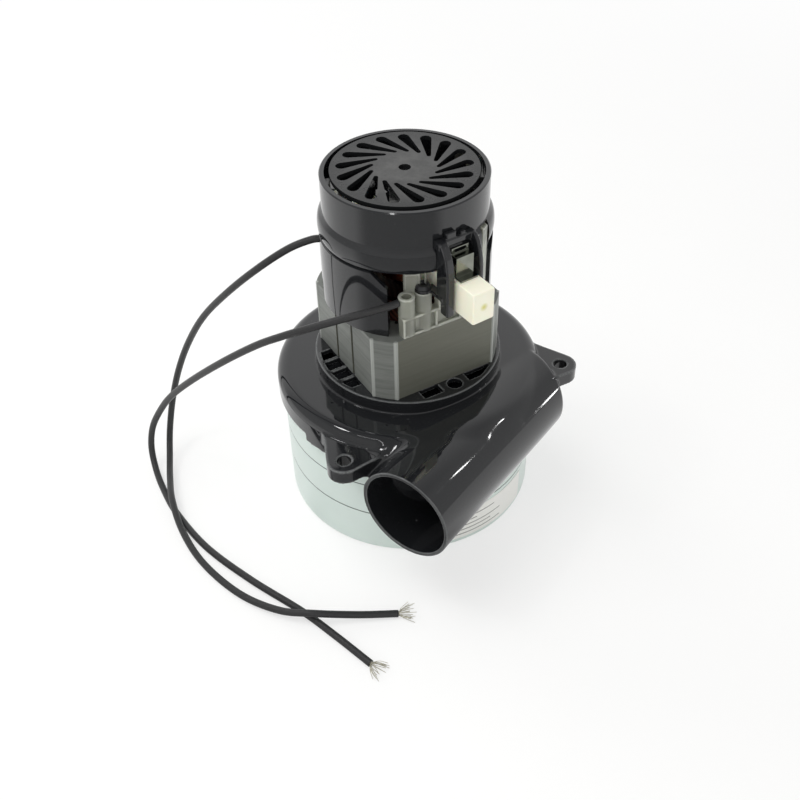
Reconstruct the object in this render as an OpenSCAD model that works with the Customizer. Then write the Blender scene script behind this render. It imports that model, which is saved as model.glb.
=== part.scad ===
// Three-stage vacuum motor unit with a tangential discharge horn.
// Origin on the motor axis at the bottom of the fan case, +Z up the shaft,
// the horn blows towards -Y. All sizes in millimetres.

/* [Fan case] */
// Outer radius of the steel fan case
case_r = 72.4; // [70:0.2:76]
// Wall of the steel fan case
case_wall = 1.2; // [0.8:0.1:1.6]
// Height of the first stage, table to lower seam
stage_1_h = 28; // [26:0.5:32]
// Height of the second stage, seam to seam
stage_2_h = 22.3; // [21:0.1:26]
// Height of the third stage, upper seam to housing lip
stage_3_h = 21.7; // [20:0.1:26]
// Rounding of the bottom corner of the case
case_round = 2.4; // [1.5:0.1:4]
// Radius of the air inlet
inlet_r = 19; // [16:0.5:22]
// Height of the turned-in lip of the inlet
inlet_lip_h = 4; // [2:0.5:5]
// Depth of the spigot that each case ring plugs into the one below
spigot_h = 4; // [3:0.5:6]
// Play between a spigot and its socket
spigot_play = 0.05; // [0.02:0.01:0.15]
// Chamfer of the case edges that meet at a seam
seam_d = 0.4; // [0.2:0.1:0.6]

/* [Impellers] */
// Gap between a fan wheel and the case wall
impeller_gap = 8.2; // [6:0.2:12]
// Height of a fan wheel
impeller_h = 12.5; // [10:0.5:14]
// Clearance between a fan wheel and the floor below it
impeller_rise = 3; // [2:0.5:4]
// Sheet of the fan wheels and guide discs
sheet_t = 1; // [0.8:0.1:1.4]
// Number of vanes in a fan wheel
vane_count = 7; // [5:1:9]
// Thickness of a vane
vane_t = 1; // [0.8:0.1:1.6]
// Sweep of a vane in a fan wheel
vane_sweep = 65; // [50:1:80]
// Radius of the spacers and washers on the shaft
spacer_r = 9; // [8:0.5:11]
// Thickness of the washer under the impeller nut
washer_t = 1.5; // [1:0.1:2.5]
// Height of the impeller nut
nut_h = 6; // [4:0.5:7]
// Width across flats of the impeller nut
nut_flats = 15; // [13:0.5:17]
// Number of vanes on a guide disc
guide_count = 9; // [7:1:12]
// Gap between a guide disc and the spigot round it
guide_gap = 1.95; // [1:0.05:4]
// Height of the guide vanes
guide_h = 5; // [4:0.5:6]
// Sweep of a guide vane
guide_sweep = 55; // [40:1:70]

/* [Shaft and bearings] */
// Radius of the shaft through the fan wheels and lower bearing
shaft_low_r = 5; // [4.5:0.1:5.4]
// Radius of the shaft through armature and commutator
shaft_mid_r = 6; // [5.6:0.1:6.4]
// Radius of the shaft through the upper bearing and vent fan
shaft_top_r = 4; // [3.5:0.1:4.5]
// Outer radius of the lower bearing
low_bearing_r = 15; // [14:0.5:16]
// Width of the lower bearing
low_bearing_w = 9; // [8:0.5:10]
// Ball radius of the lower bearing
low_ball_r = 2.4; // [2:0.1:2.6]
// Outer radius of the upper bearing
top_bearing_r = 11; // [10.5:0.5:12]
// Width of the upper bearing
top_bearing_w = 7; // [6:0.5:8]
// Ball radius of the upper bearing
top_ball_r = 1.9; // [1.6:0.1:2]
// Running play of the balls in their grooves
ball_play = 0.05; // [0.02:0.01:0.1]
// Depth of the lower bearing under the housing lip
low_bearing_drop = 1; // [0.5:0.5:2]
// Height of the upper bearing over the shell groove
top_bearing_rise = 4.5; // [3:0.5:6]
// Length of the shaft past the impeller nut
shaft_over = 2; // [1:0.5:4]
// Thickness of the bearing retainer plate
retainer_t = 1.2; // [0.8:0.1:2]
// Width of the retainer plate under the bearing ring
retainer_lap = 3; // [2:0.5:4]
// Margin of the retainer plate inside the hub edge
retainer_margin = 0.5; // [0.3:0.1:1]
// Shank radius of the retainer screws
retainer_screw_r = 1.2; // [1:0.1:1.4]
// Length of the retainer screws in the hub
retainer_screw_l = 6; // [4:0.5:7]
// Head radius of the retainer screws
retainer_head_r = 2; // [1.6:0.1:2.2]
// Head height of the retainer screws
retainer_head_h = 1.6; // [1:0.1:2]
// Play round the retainer screws in the plate
retainer_play = 0.2; // [0.1:0.05:0.3]
// Thickness of the preload washer over the upper bearing
preload_t = 0.8; // [0.5:0.1:1.2]

/* [Discharge housing] */
// Wall of the moulded housing
dome_wall = 2.6; // [2:0.1:3.2]
// Play between the housing skirt and the fan case
skirt_play = 0.2; // [0.1:0.05:0.5]
// Depth of the case inside the skirt
skirt_h = 4; // [3:0.5:6]
// Width of the ledge that the case rim stops against
ledge_w = 2.1; // [1.5:0.1:3]
// Height of the discharge chamber over the lip
chamber_h = 13.5; // [12:0.5:16]
// Rounding of the housing shoulder
dome_round = 7; // [4:0.5:8]
// Radius of the bearing hub
hub_r = 20; // [18.5:0.5:23]
// Gap round the shaft in the roof of the hub
hub_gap = 3; // [2:0.5:4]
// Outer radius of the collar under the stator
collar_r = 52.4; // [51.5:0.2:55]
// Height of the collar over the dome
collar_h = 8; // [7:0.5:11]
// Width of the collar rim outside its windows
collar_rim = 2.9; // [2:0.1:4]
// Step of the collar wall under its windows
collar_step = 0.6; // [0.4:0.1:1.5]
// Thickness of the seat plate on the collar
seat_t = 3; // [2:0.5:4]
// Radius of the opening in the seat plate
seat_hole_r = 34; // [33.5:0.5:34.5]
// Width of the ribs across the side windows
rib_w = 2.2; // [1.5:0.1:3]
// Distance from rib to rib
rib_pitch = 9.5; // [8:0.5:11]
// Width of the left front window
left_window_w = 11.5; // [9:0.5:12]
// Depth of the left front window
left_window_d = 7; // [5:0.5:8]
// Width of the right front window
right_window_w = 16; // [12:0.5:18]
// Depth of the right front window
right_window_d = 6.5; // [5:0.5:8]
// Radius of the round hole in the seat plate
seat_round_r = 4.1; // [3:0.1:4.2]

/* [Mounting ears] */
// Bolt circle radius of the ears
ear_circle_r = 87.3; // [86:0.1:92]
// Radius of the ear tip around its hole
ear_r = 9.2; // [8:0.1:11]
// Thickness of the ears
ear_t = 8.5; // [6:0.5:10]
// Height of the ear underside over the lip
ear_rise = 1.5; // [0:0.5:3]
// Hole radius in the ears
ear_hole_r = 3.75; // [3:0.05:4.5]
// Half angle of an ear where it leaves the housing
ear_root_angle = 16; // [12:1:20]
// Angle of the front ear
ear_1_angle = -76.7; // [-80:0.1:-72]
// Angle of the right ear
ear_2_angle = 33.3; // [28:0.1:36]
// Angle of the rear ear
ear_3_angle = 158.3; // [140:0.1:175]

/* [Discharge horn] */
// Outer radius of the horn at its mouth
horn_r = 26.5; // [24:0.1:28]
// Outer radius of the horn at its tail, less by the draft of the mould
horn_tail_r = 24; // [22:0.1:26]
// Wall of the horn
horn_wall = 2.2; // [2:0.1:3.4]
// Distance of the horn axis from the motor axis
horn_offset = 59.9; // [57:0.1:64]
// Height of the horn axis over the table
horn_z = 66.4; // [64:0.1:70]
// Distance of the horn mouth in front of the motor axis
horn_mouth_y = 87; // [84:0.5:110]
// Distance of the closed tail behind the motor axis
horn_tail_y = 40; // [30:0.5:50]
// Rounding of the closed tail
horn_round = 9; // [5:0.5:14]
// Extra wall between the duct and the fan case
duct_step = 0.6; // [0.4:0.1:1.2]
// Length of the wider bore at the horn mouth
mouth_l = 18; // [14:0.5:19]
// Step between the mouth bore and the duct behind it
mouth_step = 0.5; // [0.3:0.1:1]

/* [Stator and armature] */
// Height of the stator pack
stator_h = 38.5; // [34:0.5:44]
// Width of the stator across its flats
stator_flats = 79.4; // [76:0.2:82]
// Radius of the stator corners
stator_r = 50; // [48:0.2:51]
// Angle of the stator flat under the front brush
stator_angle = -23.2; // [-30:0.1:-15]
// Radius of the stator bore
stator_bore_r = 22; // [21:0.1:23]
// Air gap between armature and stator
air_gap = 0.6; // [0.4:0.05:1]
// Outer radius of the winding slots
slot_r = 34; // [32:0.5:35]
// Half angle of a winding slot
slot_half_angle = 42; // [36:1:46]
// Depth of the grooves down the stator sides
groove_d = 1.2; // [0.6:0.1:2]
// Width of the grooves down the stator sides
groove_w = 2; // [1:0.1:3]
// Distance of the grooves from the middle of a side
groove_t = 8.8; // [6:0.1:14]
// Radius of the beads along the stator corners
bead_r = 0.8; // [0.5:0.1:1.2]
// Insulation gap round the field coils
coil_gap = 1.4; // [1.2:0.1:1.8]
// Height of the coil heads over the stator faces
coil_head_h = 6; // [5:0.5:6.5]
// Number of armature slots
armature_slots = 12; // [8:1:20]
// Depth of an armature slot
armature_slot_d = 8; // [6:0.5:9]
// Width of an armature slot
armature_slot_w = 3; // [2:0.1:3.6]
// Height of the armature winding heads
armature_head_h = 7; // [5:0.5:7.5]
// Radius of the commutator
commutator_r = 14; // [12:0.5:15]
// Height of the commutator
commutator_h = 20; // [18:0.5:22]
// Number of commutator bars
bar_count = 24; // [16:2:36]
// Depth of the gaps between commutator bars
bar_gap_d = 1.5; // [1:0.1:2]
// Height of the commutator middle over the brush axis
commutator_rise = 0.5; // [0:0.1:1]
// Height of the commutator risers
riser_h = 3; // [2:0.5:4]
// Reach of the risers past the commutator
riser_d = 1.6; // [1:0.1:2]
// Radius of the through bolts
bolt_r = 2; // [1.5:0.1:2.3]
// Wall of the bosses round the through bolts
bolt_boss_wall = 2.2; // [1.8:0.1:2.3]
// Land between the winding slots and the bolt bosses
slot_land = 0.7; // [0.5:0.1:0.8]
// Play round a bolt head in the shell
bolt_head_play = 0.3; // [0.2:0.05:0.35]
// Play round a through bolt in the stator
bolt_play = 0.25; // [0.1:0.05:0.5]
// Half angle between two bolts of one leg
bolt_half_angle = 40; // [36:1:42]

/* [Upper shell] */
// Outer radius of the shell at its rim
shell_r = 43.1; // [42:0.1:44.5]
// Bulge of the band past the rim of the shell
band_bulge = 2.7; // [2:0.1:4]
// Step of the legs inside the band
leg_step = 0.5; // [0.2:0.1:1]
// Wall of the shell
shell_wall = 2.6; // [2:0.1:3.2]
// Height of the shell legs, stator to groove
leg_h = 38; // [36:0.5:42]
// Height of the band over the legs
band_h = 13.5; // [11:0.5:16]
// Height of the upper cylinder over the band
upper_h = 20; // [16:0.5:26]
// Depth of the groove between legs and band
leg_groove_d = 1.4; // [0.6:0.1:1.8]
// Half angle of a leg
leg_half_angle = 47; // [44:1:50]
// Corner cut off a leg at the groove
leg_corner = 9; // [4:0.5:11]
// Chamfer of the shell's edges
shell_edge = 0.6; // [0.3:0.1:0.9]
// Wall round the upper bearing
top_hub_wall = 3.2; // [2.5:0.1:4]
// Roof over the preload washer
hub_roof_t = 1.8; // [1.2:0.1:2.5]
// Length of the hub under the upper bearing
hub_drop = 1.5; // [1:0.5:3]
// Width of the spider arms to the bearing hub
arm_w = 5; // [4:0.5:8]
// Height of the spider arms
arm_h = 8; // [6:0.5:9]
// Radius of the slot for the supply lead
lead_hole_r = 2.4; // [2.3:0.1:3]
// Angle of the slot for the supply lead
lead_hole_angle = -140; // [-144:1:-136]
// Height of the lead slot over the stator
lead_exit_rise = 33.4; // [32:0.1:34]
// Gap between the stator and the bolt bosses
boss_lift = 0.5; // [0.2:0.1:1]
// Height of the bolt bosses inside the legs
bolt_boss_h = 14; // [10:0.5:18]
// Play round an insulator upright in its slot
slot_play = 1.2; // [0.8:0.1:2]

/* [Vent fan] */
// Gap between the vent fan and the shell
vent_gap = 2.6; // [2:0.1:6]
// Height of the vent fan over the shell rim
vent_proud = 0.7; // [0:0.1:1.5]
// Thickness of the vent fan plate
vent_t = 2.4; // [1.8:0.1:4]
// Number of slots and blades
vent_count = 17; // [11:1:21]
// Height of the blades under the plate
blade_h = 9; // [7:0.5:11]
// Radius of the vent fan hub
vent_hub_r = 9; // [7:0.5:11]
// Thickness of the blades
blade_t = 1.2; // [0.8:0.1:1.8]
// Inner end radius of the slots
vent_slot_in_r = 17; // [15:0.5:19]
// Rim outside the slots
vent_rim = 3; // [2:0.1:4]
// Width of a slot at its outer end
vent_slot_w = 6; // [4:0.1:7]
// Width of a slot at its inner end
vent_slot_tip_w = 2.2; // [1.6:0.1:3]
// Sweep of a slot from its outer to its inner end
vent_sweep = 26; // [10:1:30]
// Radius of the hole over the shaft end
vent_hole_r = 3.1; // [2.4:0.1:3.6]
// Depth of the hole over the shaft end
vent_hole_d = 3; // [2:0.5:4]

/* [Brush gear] */
// Angle of the front brush
brush_angle = -20; // [-24:0.5:-16]
// Height of the brush axis over the stator
brush_rise = 26.5; // [25:0.5:28]
// Width of a brush
brush_w = 6.3; // [5:0.1:7]
// Height of a brush
brush_h = 11; // [9:0.1:12]
// Length of a brush
brush_l = 22; // [18:0.5:24]
// Gap between brush and commutator
brush_gap = 0.3; // [0.2:0.05:0.5]
// Play of a brush in its box
brush_play = 0.2; // [0.1:0.05:0.4]
// Width of a brush box
box_w = 13.2; // [11:0.1:14]
// Height of a brush box
box_h = 18; // [15:0.1:18.4]
// Distance from the axis to the inner end of a box
box_in = 19; // [17.5:0.5:22]
// Distance from the axis to the outer end of a box
box_out = 67.5; // [64:0.5:70]
// End wall of a brush box
box_end = 2.4; // [1.5:0.1:4]
// Radius of the rolled brush spring
spring_r = 4.4; // [3.5:0.1:4.5]
// Width of the rolled brush spring
spring_w = 5; // [3:0.5:5]
// Width of the clamp strip
clamp_w = 10.6; // [8:0.1:12]
// Thickness of the clamp strip
clamp_t = 1; // [0.6:0.1:1.6]
// Reach of the clamp strip from the shell
clamp_reach = 8.4; // [7:0.1:10]
// Height of the clamp strip over the brush box
clamp_h = 12; // [10:0.5:14]
// Height of the folded hem of the clamp strip
hem_h = 3.4; // [2.5:0.1:4]
// Gap between the hem and the shell band
hem_gap = 0.4; // [0.2:0.1:0.8]
// Length of the clamp strip's foot on the box
clamp_foot = 4; // [2:0.5:6]
// Half width between the cheeks of the yoke
yoke_in = 7.6; // [7.2:0.1:8.5]
// Thickness of a cheek
cheek_t = 4.4; // [3:0.1:5]
// Reach of the yoke from the shell
yoke_reach = 10.5; // [9:0.1:12.5]
// Reach of the yoke's crown from the shell
yoke_crown = 3; // [2:0.1:5]
// Height over the brush axis where the cheeks start to bend back
yoke_brow = 9; // [6:0.5:14]
// Height over the brush axis where the cheeks narrow to their feet
yoke_step = 4; // [2:0.5:6]
// Depth of the yoke feet
yoke_foot_d = 9; // [7:0.5:10]
// Width of the larger lug on the crown
lug_w = 6; // [4:0.5:7]
// Height of the larger lug on the crown
lug_h = 3.4; // [2:0.1:5]
// Reach of the lugs from the shell
lug_t = 2.4; // [1.5:0.1:2.8]
// Height of the yoke over the brush axis
yoke_top = 29; // [26:0.5:31]
// Depth of the yoke feet under the brush axis
yoke_foot = 10.5; // [9:0.5:11]
// Play between the yoke and the shell
yoke_play = 0.2; // [0.1:0.05:0.4]
// Thickness of the yoke's screw pad
pad_t = 2; // [1.5:0.1:3]
// Shank radius of the yoke screws
yoke_shank_r = 1.5; // [1.2:0.1:1.8]

/* [Field insulator] */
// Left edge of the nylon insulator along the flat
insulator_left = 25.5; // [24:0.1:27]
// Right edge of the nylon insulator along the flat
insulator_right = 25.5; // [24:0.1:27]
// Thickness of the insulator base on the stator
insulator_base_t = 12; // [10:0.5:13]
// Depth of the insulator behind the stator flat
insulator_d = 5; // [4:0.1:5]
// Height of the insulator posts over the stator
post_h = 23; // [20:0.5:24]
// Radius of the insulator posts
post_r = 4.4; // [3.8:0.1:4.8]
// Height of the wire wall over the stator
wire_wall_h = 33; // [30:0.5:35]
// Distance of the wire wall behind the stator flat
wire_wall_back = 4; // [3:0.1:5]
// Head radius of the yoke screw
yoke_screw_r = 4.3; // [3.5:0.1:4.6]
// Head height of the yoke screw
yoke_screw_h = 2.2; // [1.6:0.1:3]
// Length of the yoke screw under its head
yoke_screw_l = 11; // [8:0.5:12]
// Depth of the holes in the insulator posts
post_hole_d = 12; // [11:0.5:14]
// Radius of the hole in the plain post
plain_hole_r = 2; // [1.5:0.1:2.6]
// Height of the uprights beside the shell legs
upright_h = 50; // [44:0.5:52]
// Width of the uprights beside the shell legs
upright_w = 4.6; // [3.5:0.1:6]

/* [Rating label] */
// Height of the blank label
label_h = 21; // [15:0.5:22]
// Gap between label and table
label_rise = 4; // [3:0.5:6]
// Thickness of the label
label_t = 0.15; // [0.1:0.05:0.3]
// Glue line under the label
label_gap = 0.05; // [0.02:0.01:0.1]
// First angle of the label
label_from = -56; // [-70:1:-40]
// Last angle of the label
label_to = 9; // [0:1:20]

/* [Leads] */
// Radius of a supply lead
lead_r = 2; // [1.7:0.05:2.1]
// Radius of one bare strand
strand_r = 0.45; // [0.3:0.05:0.6]
// Number of bare strands on a lead
strand_count = 7; // [5:1:9]
// Length of the bare strands
strand_l = 12; // [8:0.5:16]

/* [Hidden] */
$fn = 96;
// Overshoot of cutting tools
eps = 1;
full = 400;

// Heights up the motor axis
seam_1_z = stage_1_h;
seam_2_z = seam_1_z + stage_2_h;
lip_z = seam_2_z + stage_3_h;
case_top_z = lip_z + skirt_h;
roof_z = lip_z + chamber_h;
dome_z = roof_z + dome_wall;
stator_z = dome_z + collar_h;
stator_top_z = stator_z + stator_h;
leg_top_z = stator_top_z + leg_h;
band_top_z = leg_top_z + band_h;
rim_z = band_top_z + upper_h;
brush_z = stator_top_z + brush_rise;
vent_top_z = rim_z + vent_proud;

// Fan wheel stack, each wheel hangs on its upper plate
wheel_1_z = case_wall + inlet_lip_h + impeller_rise / 3;
wheel_2_z = seam_1_z + case_wall + impeller_rise / 2;
wheel_3_z = seam_2_z + case_wall + impeller_rise / 2;
plate_1_z = wheel_1_z + impeller_h - sheet_t;
plate_2_z = wheel_2_z + impeller_h - sheet_t;
plate_3_z = wheel_3_z + impeller_h - sheet_t;
low_bearing_z = lip_z - low_bearing_drop;
top_bearing_z = leg_top_z + top_bearing_rise;
shaft_shoulder_z = low_bearing_z + low_bearing_w;
shaft_bottom_z = plate_1_z - washer_t - nut_h - shaft_over;
shaft_top_z = vent_top_z - vent_hole_d;
commutator_z = brush_z - commutator_h / 2 + commutator_rise;

// Radii worked out from the driving sizes
case_in_r = case_r - case_wall;
spigot_r = case_in_r - spigot_play;
guide_r = spigot_r - case_wall - guide_gap;
impeller_r = case_in_r - impeller_gap;
eye_r = inlet_r + sheet_t;
skirt_in_r = case_r + skirt_play;
dome_r = skirt_in_r + dome_wall;
chamber_r = skirt_in_r - ledge_w;
mouth_r = horn_r - horn_wall;
duct_r = mouth_r - mouth_step;
duct_tail_r = horn_tail_r - horn_wall - mouth_step;
armature_r = stator_bore_r - air_gap;
band_r = shell_r + band_bulge;
leg_r = band_r - leg_step;
leg_in_r = leg_r - shell_wall;
vent_r = shell_r - shell_wall - vent_gap;
vent_slot_out_r = vent_r - vent_rim - vent_slot_w / 2;
yoke_out = shell_r + yoke_reach;
clamp_n = shell_r + clamp_reach;
bolt_boss_r = bolt_r + bolt_boss_wall;
bolt_circle_r = slot_r + slot_land + bolt_boss_r;
bolt_head_r = 1.7 * bolt_r;
bolt_head_h = 1.6 * bolt_r;
boss_web = 0.8 * bolt_boss_r;
flat_half = stator_flats / 2;
pole_angle = stator_angle + 90;
upright_gap = 0.3;
upright_r = leg_in_r - upright_gap;
upright_n = sqrt(upright_r * upright_r - insulator_right * insulator_right);
// Places of the insulator posts in the frame of the stator flat
post_n = flat_half - post_r;
plain_post_t = insulator_left - post_r;
post_space = 1;
screw_post_t = insulator_left - 3 * post_r - post_space;
post_turn = brush_angle - stator_angle;

// Colours as the photo shows them
black_plastic = "#2c2d2e";
painted_steel = "#cfdad4";
lamination_grey = "#7f827e";
bright_steel = "#b9bcbd";
copper_wire = "#9c5a3c";
nylon_natural = "#c9c8bb";
cream_box = "#f4f3e6";
carbon_black = "#3a3a3c";
lead_black = "#343434";

// Point at a radius, angle and height
function polar(r, a, z) = [r * cos(a), r * sin(a), z];
// Points of a rounded corner in a turned profile
function corner(cx, cz, r, a0, a1) =
    [for (i = [0:6]) [cx + r * cos(a0 + (a1 - a0) * i / 6), cz + r * sin(a0 + (a1 - a0) * i / 6)]];

// Ring of rectangular section
module ring(r_in, r_out, z0, z1) {
    rotate_extrude()
        translate([r_in, z0])
            square([r_out - r_in, z1 - z0]);
}

// Part of a ring between two angles
module ring_sector(r_in, r_out, z0, z1, a0, a1) {
    rotate([0, 0, a0])
        rotate_extrude(angle = a1 - a0)
            translate([r_in, z0])
                square([r_out - r_in, z1 - z0]);
}

// Box in a radial frame: n outwards, t sideways, z up
module radial_box(angle, n0, n1, t0, t1, z0, z1) {
    rotate([0, 0, angle])
        translate([n0, t0, z0])
            cube([n1 - n0, t1 - t0, z1 - z0]);
}

// Curved vane, drawn flat as a thin arc strip
module vane_outline(r_in, r_out, sweep, t) {
    outer = [for (i = [0:8]) let (k = i / 8) polar(r_in + (r_out - r_in) * k, sweep * k, 0)];
    dirs = [for (i = [0:8]) let (k = i / 8) sweep * k + 90];
    polygon(concat(
        [for (i = [0:8]) [outer[i].x, outer[i].y] + t / 2 * [cos(dirs[i]), sin(dirs[i])]],
        [for (i = [8:-1:0]) [outer[i].x, outer[i].y] - t / 2 * [cos(dirs[i]), sin(dirs[i])]]));
}

// Lower cup of the fan case with the turned-in inlet
module fan_case_bottom() {
    color(painted_steel)
        rotate_extrude()
            polygon(concat(
                [[inlet_r, 0]],
                corner(case_r - case_round, case_round, case_round, -90, 0),
                [[case_r, seam_1_z - seam_d], [case_r - seam_d, seam_1_z], [case_in_r, seam_1_z],
                [case_in_r, case_wall],
                [inlet_r + case_wall, case_wall], [inlet_r + case_wall, inlet_lip_h],
                [inlet_r, inlet_lip_h]]));
}

// Case ring with a floor, an eye for the air and a spigot into the ring below
module case_ring(z0, z1) {
    rotate_extrude()
        polygon([[inlet_r, z0], [spigot_r - case_wall, z0], [spigot_r - case_wall, z0 - spigot_h],
            [spigot_r, z0 - spigot_h], [spigot_r, z0], [case_r - seam_d, z0], [case_r, z0 + seam_d],
            [case_r, z1 - seam_d], [case_r - seam_d, z1], [case_in_r, z1], [case_in_r, z0 + case_wall],
            [inlet_r, z0 + case_wall]]);
}

module fan_case_middle() {
    color(painted_steel)
        case_ring(seam_1_z, seam_2_z);
}

module fan_case_top() {
    color(painted_steel)
        case_ring(seam_2_z, case_top_z);
}

// Guide disc with return vanes, hung under the floor of the next stage
module guide_disc(floor_z) {
    vane_z = floor_z - guide_h;
    color(bright_steel) {
        ring(spacer_r + 3 * sheet_t, guide_r, vane_z - sheet_t, vane_z);
        for (i = [0:guide_count - 1])
            rotate([0, 0, 360 * i / guide_count])
                translate([0, 0, vane_z - sheet_t / 2])
                    linear_extrude(guide_h + sheet_t / 2)
                        vane_outline(eye_r + 2 * vane_t, guide_r - 2 * vane_t, guide_sweep, vane_t);
    }
}

module guide_disc_lower() {
    guide_disc(seam_1_z);
}

module guide_disc_upper() {
    guide_disc(seam_2_z);
}

// Blank paper label on the first stage
module rating_label() {
    color("white")
        ring_sector(case_r + label_gap, case_r + label_gap + label_t, label_rise, label_rise + label_h,
            label_from, label_to);
}

// Mounting ear with its bolt hole
module ear(angle) {
    root = polar(dome_r - dome_wall / 2, ear_root_angle, 0);
    tip = ear_circle_r + ear_r * sin(35);
    rotate([0, 0, angle])
        translate([0, 0, lip_z + ear_rise])
            linear_extrude(ear_t) {
                polygon([[root.x, root.y], [tip, ear_r * cos(35)], [tip, -ear_r * cos(35)],
                    [root.x, -root.y]]);
                translate([ear_circle_r, 0])
                    circle(ear_r);
            }
}

module ear_holes() {
    for (angle = [ear_1_angle, ear_2_angle, ear_3_angle])
        translate(polar(ear_circle_r, angle, lip_z - full / 10))
            cylinder(r = ear_hole_r, h = full / 5);
}

// Horn body with its rounded closed tail, turned about its own axis
module horn_body() {
    horn_l = horn_mouth_y + horn_tail_y;
    translate([horn_offset, horn_tail_y, horn_z])
        rotate([90, 0, 0])
            rotate_extrude()
                polygon(concat(
                    [[0, horn_l], [0, 0]],
                    corner(horn_tail_r - horn_round, horn_round, horn_round, -90, 0),
                    [[horn_r, horn_l]]));
}

// Air duct inside the horn, kept outside the skirt round the fan case
module horn_duct() {
    duct_l = horn_mouth_y + horn_tail_y - horn_wall;
    difference() {
        translate([horn_offset, horn_tail_y - horn_wall, horn_z])
            rotate([90, 0, 0])
                rotate_extrude()
                    polygon(concat(
                        [[0, duct_l + eps], [0, 0]],
                        corner(duct_tail_r - horn_round, horn_round, horn_round, -90, 0),
                        [[duct_r, duct_l - mouth_l], [mouth_r, duct_l - mouth_l],
                        [mouth_r, duct_l + eps]]));
        cylinder(r = dome_r + duct_step, h = case_top_z);
    }
}

// Outer dome of the housing as one turned solid
module dome_body() {
    rotate_extrude()
        polygon(concat(
            [[0, lip_z], [dome_r, lip_z]],
            corner(dome_r - dome_round, dome_z - dome_round, dome_round, 0, 90),
            [[0, dome_z]]));
}

// Collar with its seat plate; the windows lie beside the stator flats
module collar() {
    difference() {
        translate([0, 0, dome_z - eps])
            cylinder(r = collar_r, h = collar_h + eps);
        translate([0, 0, dome_z])
            cylinder(r = collar_r - collar_rim - collar_step, h = collar_h - seat_t);
        translate([0, 0, dome_z])
            cylinder(r = seat_hole_r, h = collar_h + eps);
        for (side = [1:3])
            rotate([0, 0, stator_angle - 90 * side])
                side_windows();
        rotate([0, 0, stator_angle])
            front_windows();
    }
}

// Four windows between three ribs, beside a plain stator flat
module side_windows() {
    intersection() {
        ring(0, collar_r - collar_rim, dome_z, stator_z + eps);
        for (k = [-2:1])
            translate([flat_half, k * rib_pitch + rib_w / 2, dome_z])
                cube([collar_r, rib_pitch - rib_w, full / 10]);
    }
}

// Three windows beside the stator flat under the front brush
module front_windows() {
    round_edge = 0.5;
    round_t = 3;
    left_t = -17;
    right_t = 11.5;
    translate([flat_half + seat_round_r + round_edge, round_t, dome_z])
        cylinder(r = seat_round_r, h = full / 10);
    intersection() {
        ring(0, collar_r - collar_rim, dome_z, stator_z + eps);
        union() {
            translate([flat_half, left_t, dome_z])
                cube([left_window_d, left_window_w, full / 10]);
            translate([flat_half, right_t, dome_z])
                cube([right_window_d, right_window_w, full / 10]);
        }
    }
}

// Moulded discharge housing: dome, horn, ears, collar and bearing hub
module discharge_housing() {
    color(black_plastic)
        difference() {
            union() {
                difference() {
                    union() {
                        dome_body();
                        horn_body();
                        for (angle = [ear_1_angle, ear_2_angle, ear_3_angle])
                            ear(angle);
                    }
                    cylinder(r = skirt_in_r, h = case_top_z);
                    cylinder(r = chamber_r, h = roof_z);
                    horn_duct();
                }
                translate([0, 0, low_bearing_z])
                    cylinder(r = hub_r, h = dome_z - low_bearing_z);
                collar();
                for (angle = bolt_angles)
                    translate(polar(bolt_circle_r, angle, dome_z - dome_wall / 2))
                        cylinder(r = bolt_boss_r, h = stator_z - dome_z + dome_wall / 2);
            }
            translate([0, 0, low_bearing_z - eps])
                cylinder(r = low_bearing_r, h = low_bearing_w + eps);
            cylinder(r = shaft_mid_r + hub_gap, h = full);
            ear_holes();
            for (angle = bolt_angles)
                translate(polar(bolt_circle_r, angle, dome_z - eps))
                    cylinder(r = bolt_r, h = collar_h + 2 * eps);
            retainer_screw_set(retainer_screw_r, low_bearing_z - eps, low_bearing_z + retainer_screw_l + eps);
        }
}

bolt_angles = [for (side = [0, 180], s = [-1, 1]) pole_angle + side + s * bolt_half_angle];
retainer_screw_circle = (low_bearing_r + hub_r) / 2;

// Three small round bodies on the retainer screw circle
module retainer_screw_set(r, z0, z1) {
    for (angle = [30:120:270])
        translate(polar(retainer_screw_circle, angle, z0))
            cylinder(r = r, h = z1 - z0);
}

module bearing_retainer() {
    color(bright_steel)
        difference() {
            ring(low_bearing_r - retainer_lap, hub_r - retainer_margin, low_bearing_z - retainer_t,
                low_bearing_z);
            retainer_screw_set(retainer_screw_r + retainer_play, low_bearing_z - full / 10,
                low_bearing_z + full / 10);
        }
}

module retainer_screws() {
    head_z = low_bearing_z - retainer_t - retainer_head_h;
    color(bright_steel) {
        retainer_screw_set(retainer_head_r, head_z, low_bearing_z - retainer_t);
        retainer_screw_set(retainer_screw_r, head_z, low_bearing_z + retainer_screw_l);
    }
}

// Ball bearing rings: each has half of the ball groove
module bearing_ring(r_in, r_out, pitch_r, ball_r, z0, width) {
    difference() {
        ring(r_in, r_out, z0, z0 + width);
        translate([0, 0, z0 + width / 2])
            rotate_extrude()
                translate([pitch_r, 0])
                    circle(ball_r + ball_play);
    }
}

module bearing_balls(pitch_r, ball_r, count, z_mid) {
    for (i = [0:count - 1])
        translate(polar(pitch_r, 360 * i / count, z_mid))
            sphere(ball_r);
}

// Shoulder of a bearing ring as a share of the ball radius
shoulder = 0.75;
low_pitch_r = (low_bearing_r + shaft_low_r) / 2;
top_pitch_r = (top_bearing_r + shaft_top_r) / 2;

module lower_bearing_outer() {
    color(bright_steel)
        bearing_ring(low_pitch_r + shoulder * low_ball_r, low_bearing_r, low_pitch_r, low_ball_r,
            low_bearing_z, low_bearing_w);
}

module lower_bearing_inner() {
    color(bright_steel)
        bearing_ring(shaft_low_r, low_pitch_r - shoulder * low_ball_r, low_pitch_r, low_ball_r,
            low_bearing_z, low_bearing_w);
}

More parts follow.
